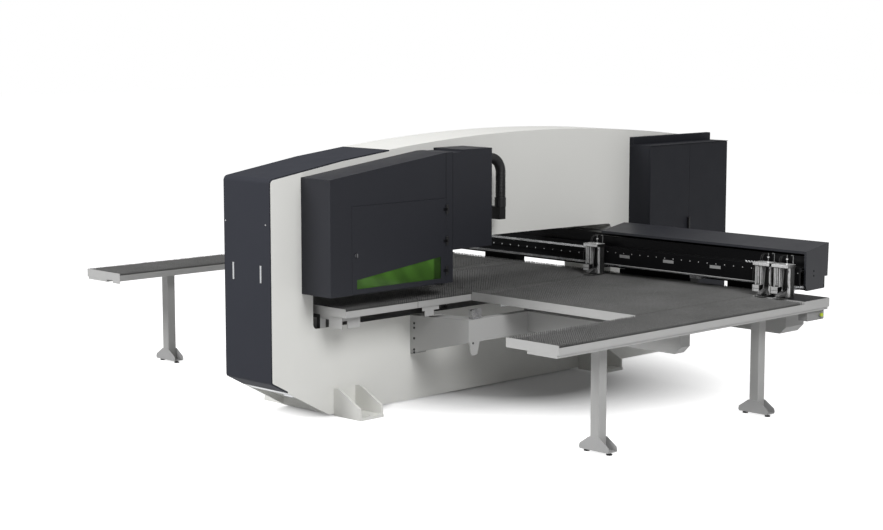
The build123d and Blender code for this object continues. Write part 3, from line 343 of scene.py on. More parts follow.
# Linear rails of the beam and of the long channels, laser slide and front tie plate: ground steel.
# The grinding leaves fine lines along the piece, so the grain is stretched along X or Z.
ground, nodes, links, given, result = new_group(
    "ground metal",
    [("Metal", "Color", (0.6, 0.6, 0.6, 1)), ("Grain", "Vector", (4.0, 200.0, 200.0)),
     ("Depth", "Float", 0.2), ("Polish", "Float", 0.3)],
    [("Colour", "Color"), ("Roughness", "Float"), ("Height", "Float"), ("Edge normal", "Vector")])
place = object_axes(nodes, links)[0]
stretch = nodes.new("ShaderNodeMapping")
links.new(place, stretch.inputs["Vector"])
links.new(given.outputs["Grain"], stretch.inputs["Scale"])
lines = noise(nodes, links, stretch.outputs["Vector"], 1.0, 4.0, 0.7)
clouds = noise(nodes, links, place, 6.0, 3.0)
both = maths(nodes, links, "SUBTRACT", maths(nodes, links, "ADD", lines, clouds), 1.0)
swing = maths(nodes, links, "MULTIPLY", both, given.outputs["Depth"])
shade = maths(nodes, links, "ADD", 1.0, swing)
links.new(tinted(nodes, links, given.outputs["Metal"], shade), result.inputs["Colour"])
links.new(maths(nodes, links, "ADD", given.outputs["Polish"], swing), result.inputs["Roughness"])
links.new(lines, result.inputs["Height"])
metal_edge_radius = 0.0015
rounded = nodes.new("ShaderNodeBevel")
rounded.samples = bevel_samples
rounded.inputs["Radius"].default_value = metal_edge_radius
links.new(rounded.outputs[0], result.inputs["Edge normal"])


def metal(name, colour, grain=(4, 200, 200), depth=0.25, polish=0.32, bump=0.05, metallic=1.0):
    """Metal finish on the ground metal group; grain is the texture's scale along X, Y and Z."""
    material, nodes, links, shader = new_material(name, metallic=metallic)
    group = nodes.new("ShaderNodeGroup")
    group.node_tree = ground
    group.inputs["Metal"].default_value = (*colour, 1)
    group.inputs["Grain"].default_value = grain
    group.inputs["Depth"].default_value = depth
    group.inputs["Polish"].default_value = polish
    return finish(material, nodes, links, shader, group, bump, 0.0005)


rail_steel = metal("rail steel", (0.72, 0.73, 0.74), polish=0.22)
upright_steel = metal("upright steel", (0.55, 0.56, 0.58), grain=(200, 200, 4))
dress(rail_steel, "beam_rails", "guide_rails")
dress(upright_steel, "laser_slide", "front_tie_plate")

# Laser cabin, head box, cabinet and duct: folded sheet in a dark fine textured powder coat.
# The cabin's sheets meet in a full-height joint behind the door and in a fainter one before the head box,
# each drawn as a near-black strip of painted shade in its gap.
cabin_dark = painted("cabin charcoal", (0.0165, 0.0175, 0.023), gloss=0.5, mottle=0.10, peel=160, bump=0.05,
                     grime=0.0, wear_and_highlight=0.7, specular=0.25)
dress(cabin_dark, "enclosure_shell", "enclosure_door", "laser_head_box")
cabinet_dark = painted("cabinet charcoal", (0.0155, 0.0165, 0.021), gloss=0.55, mottle=0.10, peel=160,
                       bump=0.05, grime=0.0, wear_and_highlight=0.7, specular=0.15)
dress(cabinet_dark, "cabinet_body", "cabinet_duct", "cabinet_door_front", "cabinet_door_rear")
# Near-black: the blackened hinge leaves, and painted shade in open joints and screw holes.
black_and_gap_shade = painted("blackening and painted gap shade", (0.006, 0.006, 0.007), gloss=0.6, grime=0.0, wear_and_highlight=0.0, specular=0.1)
cabin_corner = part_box("enclosure_shell")[1]
door_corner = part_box("enclosure_door")[1]
joint_x = (cabin_corner.x - 0.001, cabin_corner.x + 0.0006)
joint_width = 0.003
door_joint_top = 2.150
box_joint_low, box_joint_top = 1.330, 2.144
joints = bars([((joint_x[0], door_corner.y - 0.001, door_corner.z),
                (joint_x[1], door_corner.y + joint_width, door_joint_top)),
               ((joint_x[0], cabin_corner.y - joint_width, box_joint_low),
                (joint_x[1], cabin_corner.y, box_joint_top))], 0.0002)
mesh_piece("cabin_joints", *joints, black_and_gap_shade, "cabin_charcoal", "machine")

# Door window: a tinted laser-safe pane, its colour painted light: a soft green glow of the dim cabin, lighter
# towards the top, crossed by slanted streaks.
# A darker band of painted shade lies at its rear end, where the hinge post stands behind it.
pane_low, pane_top = 1.09, 1.29
post_start, post_end = front + 1.465, front + 1.485
pane_colour = (0.046, 0.122, 0.016, 1)
pane_coat = 0.3
pane_green, nodes, links, shader = new_material("laser safe pane", roughness=0.12)
place, axes = object_axes(nodes, links)
# Painted light: the pane is lighter towards its top.
glow = remap(nodes, links, axes["Z"], pane_low, pane_top, 0.80, 1.25)
wash = noise(nodes, links, place, 3.0, 2.0)
depth = maths(nodes, links, "MULTIPLY", glow, remap(nodes, links, wash, 0.3, 0.7, 0.8, 1.2))
# Painted shade: darker where the hinge post stands behind the pane.
post_painted_shade = remap(nodes, links, axes["Y"], post_start, post_end, 1.0, 0.35)
# Painted light and shade in slanted, wavy streaks across the pane.
slant = maths(nodes, links, "ADD", axes["Y"], maths(nodes, links, "MULTIPLY", axes["Z"], 0.8))
light_stripe = nodes.new("ShaderNodeTexWave")
light_stripe.inputs["Scale"].default_value = 1.2
light_stripe.inputs["Distortion"].default_value = 3.0
links.new(slant, light_stripe.inputs["Vector"])
light_streak = remap(nodes, links, light_stripe.outputs["Fac"], 0.2, 0.9, 0.85, 1.15)
depth = maths(nodes, links, "MULTIPLY", depth, light_streak)
tint = nodes.new("ShaderNodeRGB")
tint.outputs[0].default_value = pane_colour
shade = maths(nodes, links, "MULTIPLY", depth, post_painted_shade)
links.new(tinted(nodes, links, tint.outputs[0], shade), shader.inputs["Base Color"])
shader.inputs["Coat Weight"].default_value = pane_coat
dress(pane_green, "door_window")

# Door hinges, hose connector, cabinet handle and levelling pads: moulded in black nylon.
# The hinge leaves are blackened, and the latch is a small turned key cylinder of dull steel.
plastic_black = painted("moulded black", (0.012, 0.012, 0.013), gloss=0.38, mottle=0.15, peel=300, bump=0.06,
                        grime=0.0, wear_and_highlight=0.3)
dress(plastic_black, "door_hinges", "hose_connector", "cabinet_handle", "levelling_pads")
dress(black_and_gap_shade, "door_hinge_leaves")
latch_steel = metal("latch steel", (0.22, 0.22, 0.23), grain=(300, 300, 300), polish=0.3)
dress(latch_steel, "door_latch")

# Extraction hose: a ribbed black suction hose, stiff enough to stand in one quarter bend.
# Its wall is wound from a round profile, so it is a row of soft ribs from end to end.
hose_radius = 0.045
hose_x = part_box("extraction_hose")[0].x + hose_radius
hose_level, hose_bend, hose_end = 2.060, 0.130, 1.707
hose_y = front + 2.452
hose_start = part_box("laser_head_box")[1].y
level_run = hose_y - hose_bend - hose_start
quarter = hose_bend * np.pi / 2
rib_pitch = 0.013
rib_height = 0.003
rib_steps = 5
hose_sides = 32


def hose_path(along):
    """Centre line at distances along the hose: a level run, a quarter of a circle and a run down."""
    turn = np.clip((along - level_run) / hose_bend, 0, np.pi / 2)
    down = np.clip(along - level_run - quarter, 0, None)
    y = hose_start + np.minimum(along, level_run) + hose_bend * np.sin(turn)
    z = hose_level - hose_bend * (1 - np.cos(turn)) - down
    return np.stack([np.full_like(along, hose_x), y, z], 1)


hose_length = level_run + quarter + hose_level - hose_bend - hose_end
along = np.arange(0, hose_length, rib_pitch / rib_steps)
ribs = hose_radius - rib_height / 2 + rib_height / 2 * np.cos(2 * np.pi * along / rib_pitch)
hose_black = painted("hose rubber", (0.014, 0.014, 0.015), gloss=0.42, mottle=0.2, peel=200, grime=0.0,
                     wear_and_highlight=0.0)
hose_wall = tube(hose_path(along), ribs, hose_sides)
hose = mesh_piece("suction_hose", *hose_wall, hose_black, "hose_black", "machine")
hose.data.polygons.foreach_set("use_smooth", np.ones(len(hose.data.polygons), bool))
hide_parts("extraction_hose")

# Tools on the punch line: turned and hardened steel, with an index ring above and below the sheet.
# The bearing blocks that run on the linear rails are of the same ground steel.
tool_steel = metal("tool steel", (0.42, 0.42, 0.43), grain=(60, 60, 200), polish=0.28)
dress(tool_steel, "tool_index_ring", "punch_tool", "die_base", "die_holder", "guide_blocks", "rail_runners")

# Laser head: turned and anodised aluminium, on a slide in its box.
# The gear on the cabinet's mounting panel has plain grey housings.
laser_silver = metal("anodised silver", (0.66, 0.67, 0.69), grain=(200, 200, 6), depth=0.1, polish=0.35)
dress(laser_silver, "laser_head")
gear_grey = painted("gear grey", (0.42, 0.43, 0.45), gloss=0.5)
dress(gear_grey, "cabinet_gear")

# Table trays: folded aluminium sheet with a fine rolled grain along each rim.
# The centre table's long rim is two lengths, with a narrow open joint between them, drawn as a dark strip of
# painted shade.
table_metal = metal("table aluminium", (0.44, 0.44, 0.435), grain=(12, 12, 160), depth=0.12, polish=0.45,
                    metallic=0.25)
dress(table_metal, "centre_table", "outer_tables", "inner_tables")
rim_low, rim_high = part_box("centre_table")
rim_joint = (front + 1.303, front + 1.307)
rim_joint_top = 0.9215
rim_skin = 0.0006
rim_joints = bars([((side * rim_high.x - rim_skin, rim_joint[0], rim_low.z),
                    (side * rim_high.x + rim_skin, rim_joint[1], rim_joint_top)) for side in (-1, 1)], 0.0002)
mesh_piece("rim_joints", *rim_joints, black_and_gap_shade, "table_edge", "machine")

# Brush fields: rows of nylon tufts pressed into a dark base sheet, level at their tips.
# A tuft spreads a little towards its tip; its lean and height vary from tuft to tuft.
tuft_pitch = 0.022
row_pitch = 0.011
tuft_foot = 0.0042
tuft_tip = 0.0062
tuft_lean, tuft_lean_limit = 0.0014, 0.003
tip_scatter, tip_scatter_limit = 0.0025, 0.008
tuft_sides = 4
tip_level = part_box("centre_brush")[1].z
bed_level = 0.905
bed_sheet = 0.008
hole_margin = 0.010
hole_steps = 48


def tufts(x, y, seed, keep_out=()):
    """Points and faces of a field of tufts.

    The centres are rows row_pitch apart, each shifted by half a pitch against the last. The foot is a
    four-sided ring of radius tuft_foot and the tip one of radius tuft_tip, moved by a random lean.
    keep_out holds circles (x, y, radius) with no tufts."""
    chance = np.random.default_rng(seed)
    rows = np.arange(x[0] + tuft_tip, x[1] - tuft_tip, row_pitch)
    steps = np.arange(y[0] + tuft_tip, y[1] - tuft_tip - tuft_pitch / 2, tuft_pitch)
    cx = np.repeat(rows, len(steps))
    cy = np.tile(steps, len(rows)) + np.repeat(np.arange(len(rows)) % 2, len(steps)) * tuft_pitch / 2
    free = np.ones(len(cx), bool)
    for hole_x, hole_y, radius in keep_out:
        free &= (cx - hole_x) ** 2 + (cy - hole_y) ** 2 > (radius + tuft_tip) ** 2
    centre = np.stack([cx[free], cy[free]], 1)[:, None]
    count = len(centre)
    turn = np.arange(tuft_sides) * 2 * np.pi / tuft_sides
    ring = np.stack([np.cos(turn), np.sin(turn)], 1)[None]
    lean = chance.normal(0, tuft_lean, (count, 1, 2)).clip(-tuft_lean_limit, tuft_lean_limit)
    spread = tuft_tip * chance.uniform(0.8, 1.0, (count, 1, 1))
    drop = np.abs(chance.normal(0, tip_scatter, (count, 1, 1))).clip(0, tip_scatter_limit)
    top = np.broadcast_to(tip_level - drop, (count, tuft_sides, 1))
    low = np.concatenate([centre + ring * tuft_foot, np.full((count, tuft_sides, 1), bed_level)], 2)
    high = np.concatenate([centre + lean + ring * spread, top], 2)
    points = np.concatenate([low, high], 1).reshape(-1, 3)
    here, ahead = np.arange(tuft_sides), (np.arange(tuft_sides) + 1) % tuft_sides
    walls = np.stack([here, ahead, tuft_sides + ahead, tuft_sides + here], 1)
    start = 2 * tuft_sides * np.arange(count)
    sides = (walls[None] + start[:, None, None]).reshape(-1, 4).tolist()
    tops = (start[:, None] + tuft_sides + here[None]).tolist()
    return points, sides + tops


def bed(x, y, holes=()):
    """Base sheet of a brush field: bars, and a square patch with a round hole at each (x, y, radius).

    A patch's loops have hole_steps points: the outer one is the unit circle's rays carried out to the
    square, ray / max(|ray x|, |ray y|) * half, and the inner one is ray * radius."""
    low, high = bed_level - bed_sheet, bed_level
    if not holes:
        return bars([((x[0], y[0], low), (x[1], y[1], high))])
    reach = max(radius for _, _, radius in holes) + hole_margin
    line = holes[0][1]
    strips = [((x[0], y[0], low), (x[1], line - reach, high)),
              ((x[0], line + reach, low), (x[1], y[1], high))]
    patches, left = [], x[0]
    turn = np.arange(hole_steps) * 2 * np.pi / hole_steps
    ray = np.stack([np.cos(turn), np.sin(turn)], 1)
    here, ahead = np.arange(hole_steps), (np.arange(hole_steps) + 1) % hole_steps
    loop_starts = hole_steps * np.arange(3)[:, None]
    walls = np.stack([loop_starts + here, loop_starts + ahead, loop_starts + hole_steps + ahead,
                      loop_starts + hole_steps + here], 2).reshape(-1, 4).tolist()
    for hole_x, hole_y, radius in holes:
        half = radius + hole_margin
        strips.append(((left, line - reach, low), (hole_x - half, line + reach, high)))
        if half < reach:
            strips.append(((hole_x - half, line - reach, low), (hole_x + half, line - half, high)))
            strips.append(((hole_x - half, line + half, low), (hole_x + half, line + reach, high)))
        left = hole_x + half
        outer = ray / np.abs(ray).max(1, keepdims=True) * half
        loops = [(outer, high), (ray * radius, high), (ray * radius, low), (outer, low)]
        patches.append((np.concatenate([np.column_stack([loop + (hole_x, hole_y), np.full(hole_steps, z)])
                                        for loop, z in loops]), walls))
    strips.append(((left, line - reach, low), (x[1], line + reach, high)))
    return merged([bars(strips, 0.0), *patches])


bristle, nodes, links, shader = new_material("nylon bristle", roughness=0.62)
place, axes = object_axes(nodes, links)
# Painted shade: the tufts darken towards their feet, down among the other tufts.
root_painted_shade = remap(nodes, links, axes["Z"], bed_level, tip_level, 0.55, 1.0)
worn = remap(nodes, links, noise(nodes, links, place, 2.2, 5.0), 0.3, 0.7, 0.86, 1.14)
strand = remap(nodes, links, noise(nodes, links, place, 420.0, 2.0), 0.3, 0.7, 0.75, 1.25)
tone = maths(nodes, links, "MULTIPLY", maths(nodes, links, "MULTIPLY", root_painted_shade, worn), strand)
nylon_grey = (0.185, 0.185, 0.182, 1)
tint = nodes.new("ShaderNodeRGB")
tint.outputs[0].default_value = nylon_grey
links.new(tinted(nodes, links, tint.outputs[0], tone), shader.inputs["Base Color"])
bed_dark = painted("brush base sheet", (0.050, 0.050, 0.051), gloss=0.6, mottle=0.2, grime=0.0)

punch_line = front + 2.05
die_hole = (0.0, punch_line, 0.132)
laser_slot = (0.38, punch_line, 0.040)
tray_wall = 0.004
centre_gap, outer_gap = 0.008, 0.003
inner_start = rim_high.x + centre_gap
outer_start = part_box("inner_tables")[1].x + outer_gap
fields = (("centre_brush", "machine", None, (die_hole, laser_slot), 11),
          ("outer_brushes", "machine", outer_start, (), 12),
          ("inner_brushes", "y_carriage", inner_start, (), 13))
for node, body, start, holes, seed in fields:
    low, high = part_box(node)
    y = (low.y, high.y)
    if start is None:
        spans = {"_tufts": (low.x, high.x)}
    else:
        spans = {"_right_tufts": (start + tray_wall, high.x), "_left_tufts": (low.x, -start - tray_wall)}
    tray_bed = merged([bed(x, y, holes) for x in spans.values()])
    base = mesh_piece(node + "_bed", *tray_bed, bed_dark, "brush_grey", body)
    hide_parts(node)
    for label, x in spans.items():
        mesh_piece(node + label, *tufts(x, y, seed, holes), bristle, "brush_grey", body)

# Smooth rear sections of the outer tables: a dark glossy plate in a folded tray of table sheet.
# The plate lies a little inside the tray's edge, which stays light around it.
smooth_dark = painted("smooth plate", (0.013, 0.013, 0.015), gloss=0.28, mottle=0.1, grime=0.0, wear_and_highlight=0.0,
                      specular=0.03)
dress(table_metal, "smooth_sections")
smooth_low, smooth_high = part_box("smooth_sections")
smooth_edge = 0.006
smooth_skin = 0.001
smooth_skins = []
for side in (-1, 1):
    x = sorted((side * (outer_start + smooth_edge), side * (smooth_high.x - smooth_edge)))
    smooth_skins.append(((x[0], smooth_low.y + smooth_edge, smooth_high.z - smooth_skin),
                         (x[1], smooth_high.y - smooth_edge, smooth_high.z + smooth_skin)))
mesh_piece("smooth_plates", *bars(smooth_skins, 0.0008), smooth_dark, "smooth_dark", "machine")

# Table supports: folded and welded steel arms, channels and cross members in a light grey coat.
# The square legs have the same coat, and the splayed sheet shoes a slightly darker one.
support_grey = painted("support grey", (0.43, 0.43, 0.425), gloss=0.45, grime=0.1, wear_and_highlight=0.1)
dress(support_grey, "support_arms", "support_channels", "cross_members", "table_legs")
shoe_grey = painted("shoe grey", (0.44, 0.44, 0.44), gloss=0.5, grime=0.2, wear_and_highlight=0.2)
dress(shoe_grey, "leg_shoes")

# Centre table's brackets and ties: cut and folded sheet, screwed under the tray.
# Inside the throat the brackets are darkened with painted shade. A tie stands on each support arm behind the
# long rim:
# a wide plate at the rim, a narrower neck and a foot folded inwards.
bracket_shade_tone = 0.12
bracket_grey = painted("bracket grey", (0.46, 0.46, 0.455), gloss=0.45, grime=0.0, wear_and_highlight=0.1)
nodes, links = bracket_grey.node_tree.nodes, bracket_grey.node_tree.links
axes = object_axes(nodes, links)[1]
throat_shade_mask = maths(nodes, links, "LESS_THAN", maths(nodes, links, "ABSOLUTE", axes["X"]), inside_frame)
# Painted shade: the brackets inside the throat are darkened.
darken(bracket_grey, remap(nodes, links, throat_shade_mask, 0.0, 1.0, 1.0, bracket_shade_tone))
dress(bracket_grey, "centre_table_brackets")
arm_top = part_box("support_arms")[1].z
tie_sheet = 0.005
tie_face = rim_high.x - 0.010
tie_foot_reach = 0.060
tie_head_level = 0.832
tie_head = (front + 1.366, front + 1.560)
tie_neck = (front + 1.395, front + 1.500)
tie_foot_end = front + 1.620
tie_parts = []
for side in (-1, 1):
    x = sorted((side * tie_face, side * (tie_face - tie_sheet)))
    foot_x = sorted((side * tie_face, side * (tie_face - tie_foot_reach)))
    tie_parts += [((x[0], tie_head[0], tie_head_level), (x[1], tie_head[1], rim_low.z + 0.004)),
                  ((x[0], tie_neck[0], arm_top + 0.001), (x[1], tie_neck[1], tie_head_level)),
                  ((foot_x[0], tie_neck[0], arm_top + 0.0005), (foot_x[1], tie_foot_end, arm_top + 0.006))]
mesh_piece("table_ties", *bars(tie_parts, 0.0008), support_grey, "table_edge", "machine")

# Bolts of the supports: hexagon heads, blackened.
# Five stand in a row down the front of each arm, and two on the outer face of each channel.
bolt_black = metal("blackened bolts", (0.06, 0.06, 0.06), grain=(300, 300, 300), depth=0.3, polish=0.4)
dress(bolt_black, "bracket_bolts")
hexagon = 6
arm_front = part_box("support_arms")[0].y
arm_bolt_x = 0.345
arm_bolt_drops = (0.098, 0.137, 0.228, 0.324, 0.350)
channel_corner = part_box("support_channels")[1]
arm_bolt_places = [(side * arm_bolt_x, arm_front, channel_corner.z - drop)
                   for side in (-1, 1) for drop in arm_bolt_drops]
arm_bolt_radius, arm_bolt_depth = 0.011, 0.007
arm_bolts = heads(arm_bolt_places, (0, -1, 0), arm_bolt_radius, arm_bolt_depth, hexagon)
mesh_piece("arm_bolts", *arm_bolts, bolt_black, "bolt_zinc", "machine")
channel_bolt_level = 0.584
channel_bolt_rows = (front + 1.58, front + 3.60)
channel_bolt_radius, channel_bolt_depth = 0.009, 0.006
channel_bolts = [heads([(side * channel_corner.x, y, channel_bolt_level) for y in channel_bolt_rows],
                       (side, 0, 0), channel_bolt_radius, channel_bolt_depth, hexagon) for side in (-1, 1)]
mesh_piece("channel_bolts", *merged(channel_bolts), bolt_black, "bolt_zinc", "machine")

# Long beam, its caps and cover: black satin coat over a machined box.
# The rack is black with a row of bright screws, and two screw holes are open in each end cap, drawn as
# near-black discs of painted shade.
black_coat = {"paint": (0.004, 0.004, 0.0045), "gloss": 0.34, "mottle": 0.1, "grime": 0.0, "wear_and_highlight": 0.8,
              "specular": 0.10}
beam_black = painted("beam black", **black_coat)
dress(beam_black, "carriage_beam", "beam_saddle", "beam_rack")
lid_black = painted("beam cover black", (0.022, 0.023, 0.028), gloss=0.40, mottle=0.1, grime=0.0, wear_and_highlight=0.8)
dress(lid_black, "beam_cover", "beam_end_caps")
bright_steel = painted("bright screws", (0.55, 0.56, 0.57), gloss=0.25, grime=0.0, specular=0.8)
rack_low, rack_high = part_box("beam_rack")
rack_level = (rack_low.z + rack_high.z) / 2
rack_screw_inset, rack_screw_pitch = 0.06, 0.11
rack_screw_row = np.arange(-rack_high.x + rack_screw_inset, rack_high.x, rack_screw_pitch)
rack_screw_radius, rack_screw_depth = 0.0065, 0.0008
rack_screw_places = [(x, rack_low.y, rack_level) for x in rack_screw_row]
rack_screws = heads(rack_screw_places, (0, -1, 0), rack_screw_radius, rack_screw_depth)
mesh_piece("rack_screws", *rack_screws, bright_steel, "bolt_zinc", "y_carriage")
cap_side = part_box("beam_end_caps")[1].x
cap_hole_y = front + 3.771
cap_hole_levels = (1.121, 1.161)
cap_hole_radius, cap_hole_depth, cap_hole_sides = 0.009, 0.0004, 16
cap_holes = [heads([(side * cap_side, cap_hole_y, z) for z in cap_hole_levels], (side, 0, 0),
                   cap_hole_radius, cap_hole_depth, cap_hole_sides) for side in (-1, 1)]
# Painted shade: the open holes are near-black discs.
mesh_piece("cap_screw_holes", *merged(cap_holes), black_and_gap_shade, "beam_black", "y_carriage")

# X carriage: a long black plate with a ground lower edge, a row of cap screws and three blank plates.
# Screws and plates are set flush in its front face, so that the clamps can slide over them.
# Each is a mask on the plate's own coordinates that adds a light grey to the black coat.


def squares(nodes, links, first, second):
    """Sum of the squares of two values."""
    return maths(nodes, links, "ADD", maths(nodes, links, "MULTIPLY", first, first),
                 maths(nodes, links, "MULTIPLY", second, second))


def near(nodes, links, value, middle, half):
    """Mask that is 1 where value lies less than half from middle."""
    distance = maths(nodes, links, "ABSOLUTE", maths(nodes, links, "SUBTRACT", value, middle))
    return maths(nodes, links, "LESS_THAN", distance, half)


plate_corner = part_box("x_carriage")[0]
plate_face = plate_corner.y
front_skin = plate_face + 0.001
edge_top = plate_corner.z + 0.006
screw_start, screw_pitch, screw_level, screw_radius = 0.728, 0.0945, 1.154, 0.0048
blank_middles, blank_level = (0.929, 1.432, 1.949), 1.1265
blank_half_length, blank_half_height = 0.059, 0.0135
screw_grey, blank_grey = 0.45, 0.27
carriage_black = painted("carriage black", **black_coat)
nodes, links = carriage_black.node_tree.nodes, carriage_black.node_tree.links
axes = object_axes(nodes, links)[1]
step = maths(nodes, links, "DIVIDE", maths(nodes, links, "SUBTRACT", axes["X"], screw_start), screw_pitch)
aside = maths(nodes, links, "SUBTRACT", step, maths(nodes, links, "ROUND", step))
aside = maths(nodes, links, "MULTIPLY", aside, screw_pitch)
above = maths(nodes, links, "SUBTRACT", axes["Z"], screw_level)
screw = maths(nodes, links, "LESS_THAN", squares(nodes, links, aside, above), screw_radius ** 2)
bright = maths(nodes, links, "MULTIPLY", screw, screw_grey)
in_row = near(nodes, links, axes["Z"], blank_level, blank_half_height)
for middle in blank_middles:
    blank = maths(nodes, links, "MULTIPLY", in_row, near(nodes, links, axes["X"], middle, blank_half_length))
    bright = maths(nodes, links, "MAXIMUM", bright, maths(nodes, links, "MULTIPLY", blank, blank_grey))
ground_edge = maths(nodes, links, "LESS_THAN", axes["Z"], edge_top)
bright = maths(nodes, links, "MAXIMUM", bright, maths(nodes, links, "MULTIPLY", ground_edge, screw_grey))
on_front = maths(nodes, links, "LESS_THAN", axes["Y"], front_skin)
bright = maths(nodes, links, "MULTIPLY", bright, on_front)
white = nodes.new("ShaderNodeRGB")
white.outputs[0].default_value = (1.0, 1.0, 1.0, 1)
colour = nodes["Principled BSDF"].inputs["Base Color"]
lit = nodes.new("ShaderNodeVectorMath")
links.new(colour.links[0].from_socket, lit.inputs[0])
links.new(tinted(nodes, links, white.outputs[0], bright), lit.inputs[1])
links.new(lit.outputs[0], colour)
dress(carriage_black, "x_carriage")

# Air fittings of the clamps: four short bright elbows in a row on the carriage's upper strip.
# Each leans forward and to the left, as its tube leaves it.
fitting_level = 1.1975
fitting_row = (2.290, 2.320, 2.350, 2.380)
fitting_bends = np.array([(0.0, 0.008, 0.0), (-0.006, 0.002, 0.0085), (-0.018, -0.004, 0.0185)])
fitting_radii = (0.006, 0.006, 0.005)
small_tube_sides = 8
fittings = [tube(fitting_bends + (x, plate_face, fitting_level), fitting_radii, small_tube_sides)
            for x in fitting_row]
mesh_piece("air_fittings", *merged(fittings), bright_steel, "bolt_zinc", "x_carriage")

# Workholder clamps: blackened steel with ground faces on column, foot and cap.
# The rod has two bright collars over the cap. Two thin air tubes bend back from the cap over the carriage,
# and two more bow out in front of the column's sides.
clamp_steel = metal("clamp steel", (0.20, 0.20, 0.20), grain=(120, 120, 20), depth=0.35, polish=0.35)
clamp_bright = metal("clamp ground faces", (0.74, 0.74, 0.74), grain=(300, 300, 12), depth=0.3, polish=0.3,
                     metallic=0.5)
tube_black = painted("air tube", (0.02, 0.02, 0.02), gloss=0.3, grime=0.0, wear_and_highlight=0.0)
skin = 0.001
face_edge = 0.0005
column_inset = 0.014
column_front = plate_face - 0.080
column_low, column_top = 1.034, 1.194
outer_ribs, outer_rib_width, outer_rib_front = (0.004, 0.055), 0.011, column_front - 0.0014
inner_ribs, inner_rib_width, inner_rib_low = (0.023, 0.039), 0.008, 1.044
inner_rib_front, inner_rib_back = column_front - 0.0074, column_front - 0.005
side_face, side_face_low = (0.069, 0.0712), 1.036
side_face_front, side_face_back = column_front + 0.004, plate_face - 0.016
foot_front = plate_face - 0.096
foot_side = (-0.012, 0.054)
foot_upper, foot_lower = (1.003, 1.030), (0.976, 0.999)
cap_front, cap_back = plate_face - 0.100, plate_face + 0.012
cap_reach = (-0.008, 0.156)
cap_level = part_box("clamp_1")[1].z - 0.080
rod_bar = (0.142, 0.157)
rod_bar_front, rod_bar_back = column_front + 0.004, column_front + 0.020
rod_bar_low, rod_bar_top = 0.956, 1.198
ground_faces = [((x, outer_rib_front, column_low), (x + outer_rib_width, column_front + skin, column_top))
                for x in outer_ribs]
ground_faces += [((x, inner_rib_front, inner_rib_low), (x + inner_rib_width, inner_rib_back, column_top))
                 for x in inner_ribs]
ground_faces += [
    ((side_face[0], side_face_front, side_face_low), (side_face[1], side_face_back, column_top)),
    ((foot_side[0], foot_front - 0.0014, foot_upper[0]), (foot_side[1], foot_front + skin, foot_upper[1])),
    ((foot_side[0], foot_front - 0.0008, foot_lower[0]), (foot_side[1], foot_front + skin, foot_lower[1])),
    ((cap_reach[0], cap_front - 0.0012, cap_level - 0.024),
     (cap_reach[1], cap_front + skin, cap_level - 0.002)),
    ((cap_reach[0], cap_front + 0.002, cap_level - 0.001), (cap_reach[1], cap_back, cap_level + 0.0012)),
    ((rod_bar[0], rod_bar_front, rod_bar_low), (rod_bar[1], rod_bar_back, rod_bar_top))]
rod = (0.107, plate_face - 0.042)
collar_radius, collar_height, collar_sides = 0.009, 0.010, 16
collar_levels = (cap_level, cap_level + 0.040)
collars = [tube([(*rod, z), (*rod, z + collar_height)], collar_radius, collar_sides) for z in collar_levels]
back_tube_x, back_tube_radius = (0.020, 0.036), 0.0032
back_tube_start, back_tube_end = plate_face - 0.030, plate_face + 0.075
back_bend, back_bend_y, back_bend_level = 0.040, plate_face + 0.010, cap_level + 0.022
bow_x, bow_radius = (-0.009, 0.151), 0.0030
bow_depth, bow_foot = 0.026, column_front + 0.010
bow_level, bow_half_height = 1.105, 0.075
quarter_turn = np.linspace(0, np.pi / 2, 9)
half_turn = np.linspace(0, np.pi, 13)
air_tubes = []
for x in back_tube_x:
    bend = np.stack([np.full_like(quarter_turn, x), back_bend_y - back_bend * np.cos(quarter_turn),
                     back_bend_level + back_bend * np.sin(quarter_turn)], 1)
    path = [(x, back_tube_start, cap_level), *bend, (x, back_tube_end, back_bend_level + back_bend)]
    air_tubes.append(tube(path, back_tube_radius, small_tube_sides))
for x in bow_x:
    bow = np.stack([np.full_like(half_turn, x), bow_foot - bow_depth * np.sin(half_turn),
                    bow_level + bow_half_height * np.cos(half_turn)], 1)
    air_tubes.append(tube(bow, bow_radius, small_tube_sides))
clamp_parts = (("_faces", bars(ground_faces, face_edge), clamp_bright, "clamp_dark"),
               ("_collars", merged(collars), clamp_bright, "clamp_dark"),
               ("_air_tubes", merged(air_tubes), tube_black, "hose_black"))
for number in (1, 2, 3):
    body = "clamp_%d" % number
    dress(clamp_steel, body, "clamp_jaw_%d" % number)
    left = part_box(body)[0].x + column_inset
    for label, (points, faces), material, slot in clamp_parts:
        mesh_piece(body + label, points + (left, 0, 0), faces, material, slot, body)

# Switch box: a small grey sheet housing below the outer table's rear end.
# Its one push button is moulded in lime plastic.
switch_grey = painted("switch box grey", (0.30, 0.30, 0.30), gloss=0.45)
dress(switch_grey, "switch_box")
button_lime = painted("lime button", (0.52, 0.66, 0.03), gloss=0.3, mottle=0.02)
dress(button_lime, "push_button")

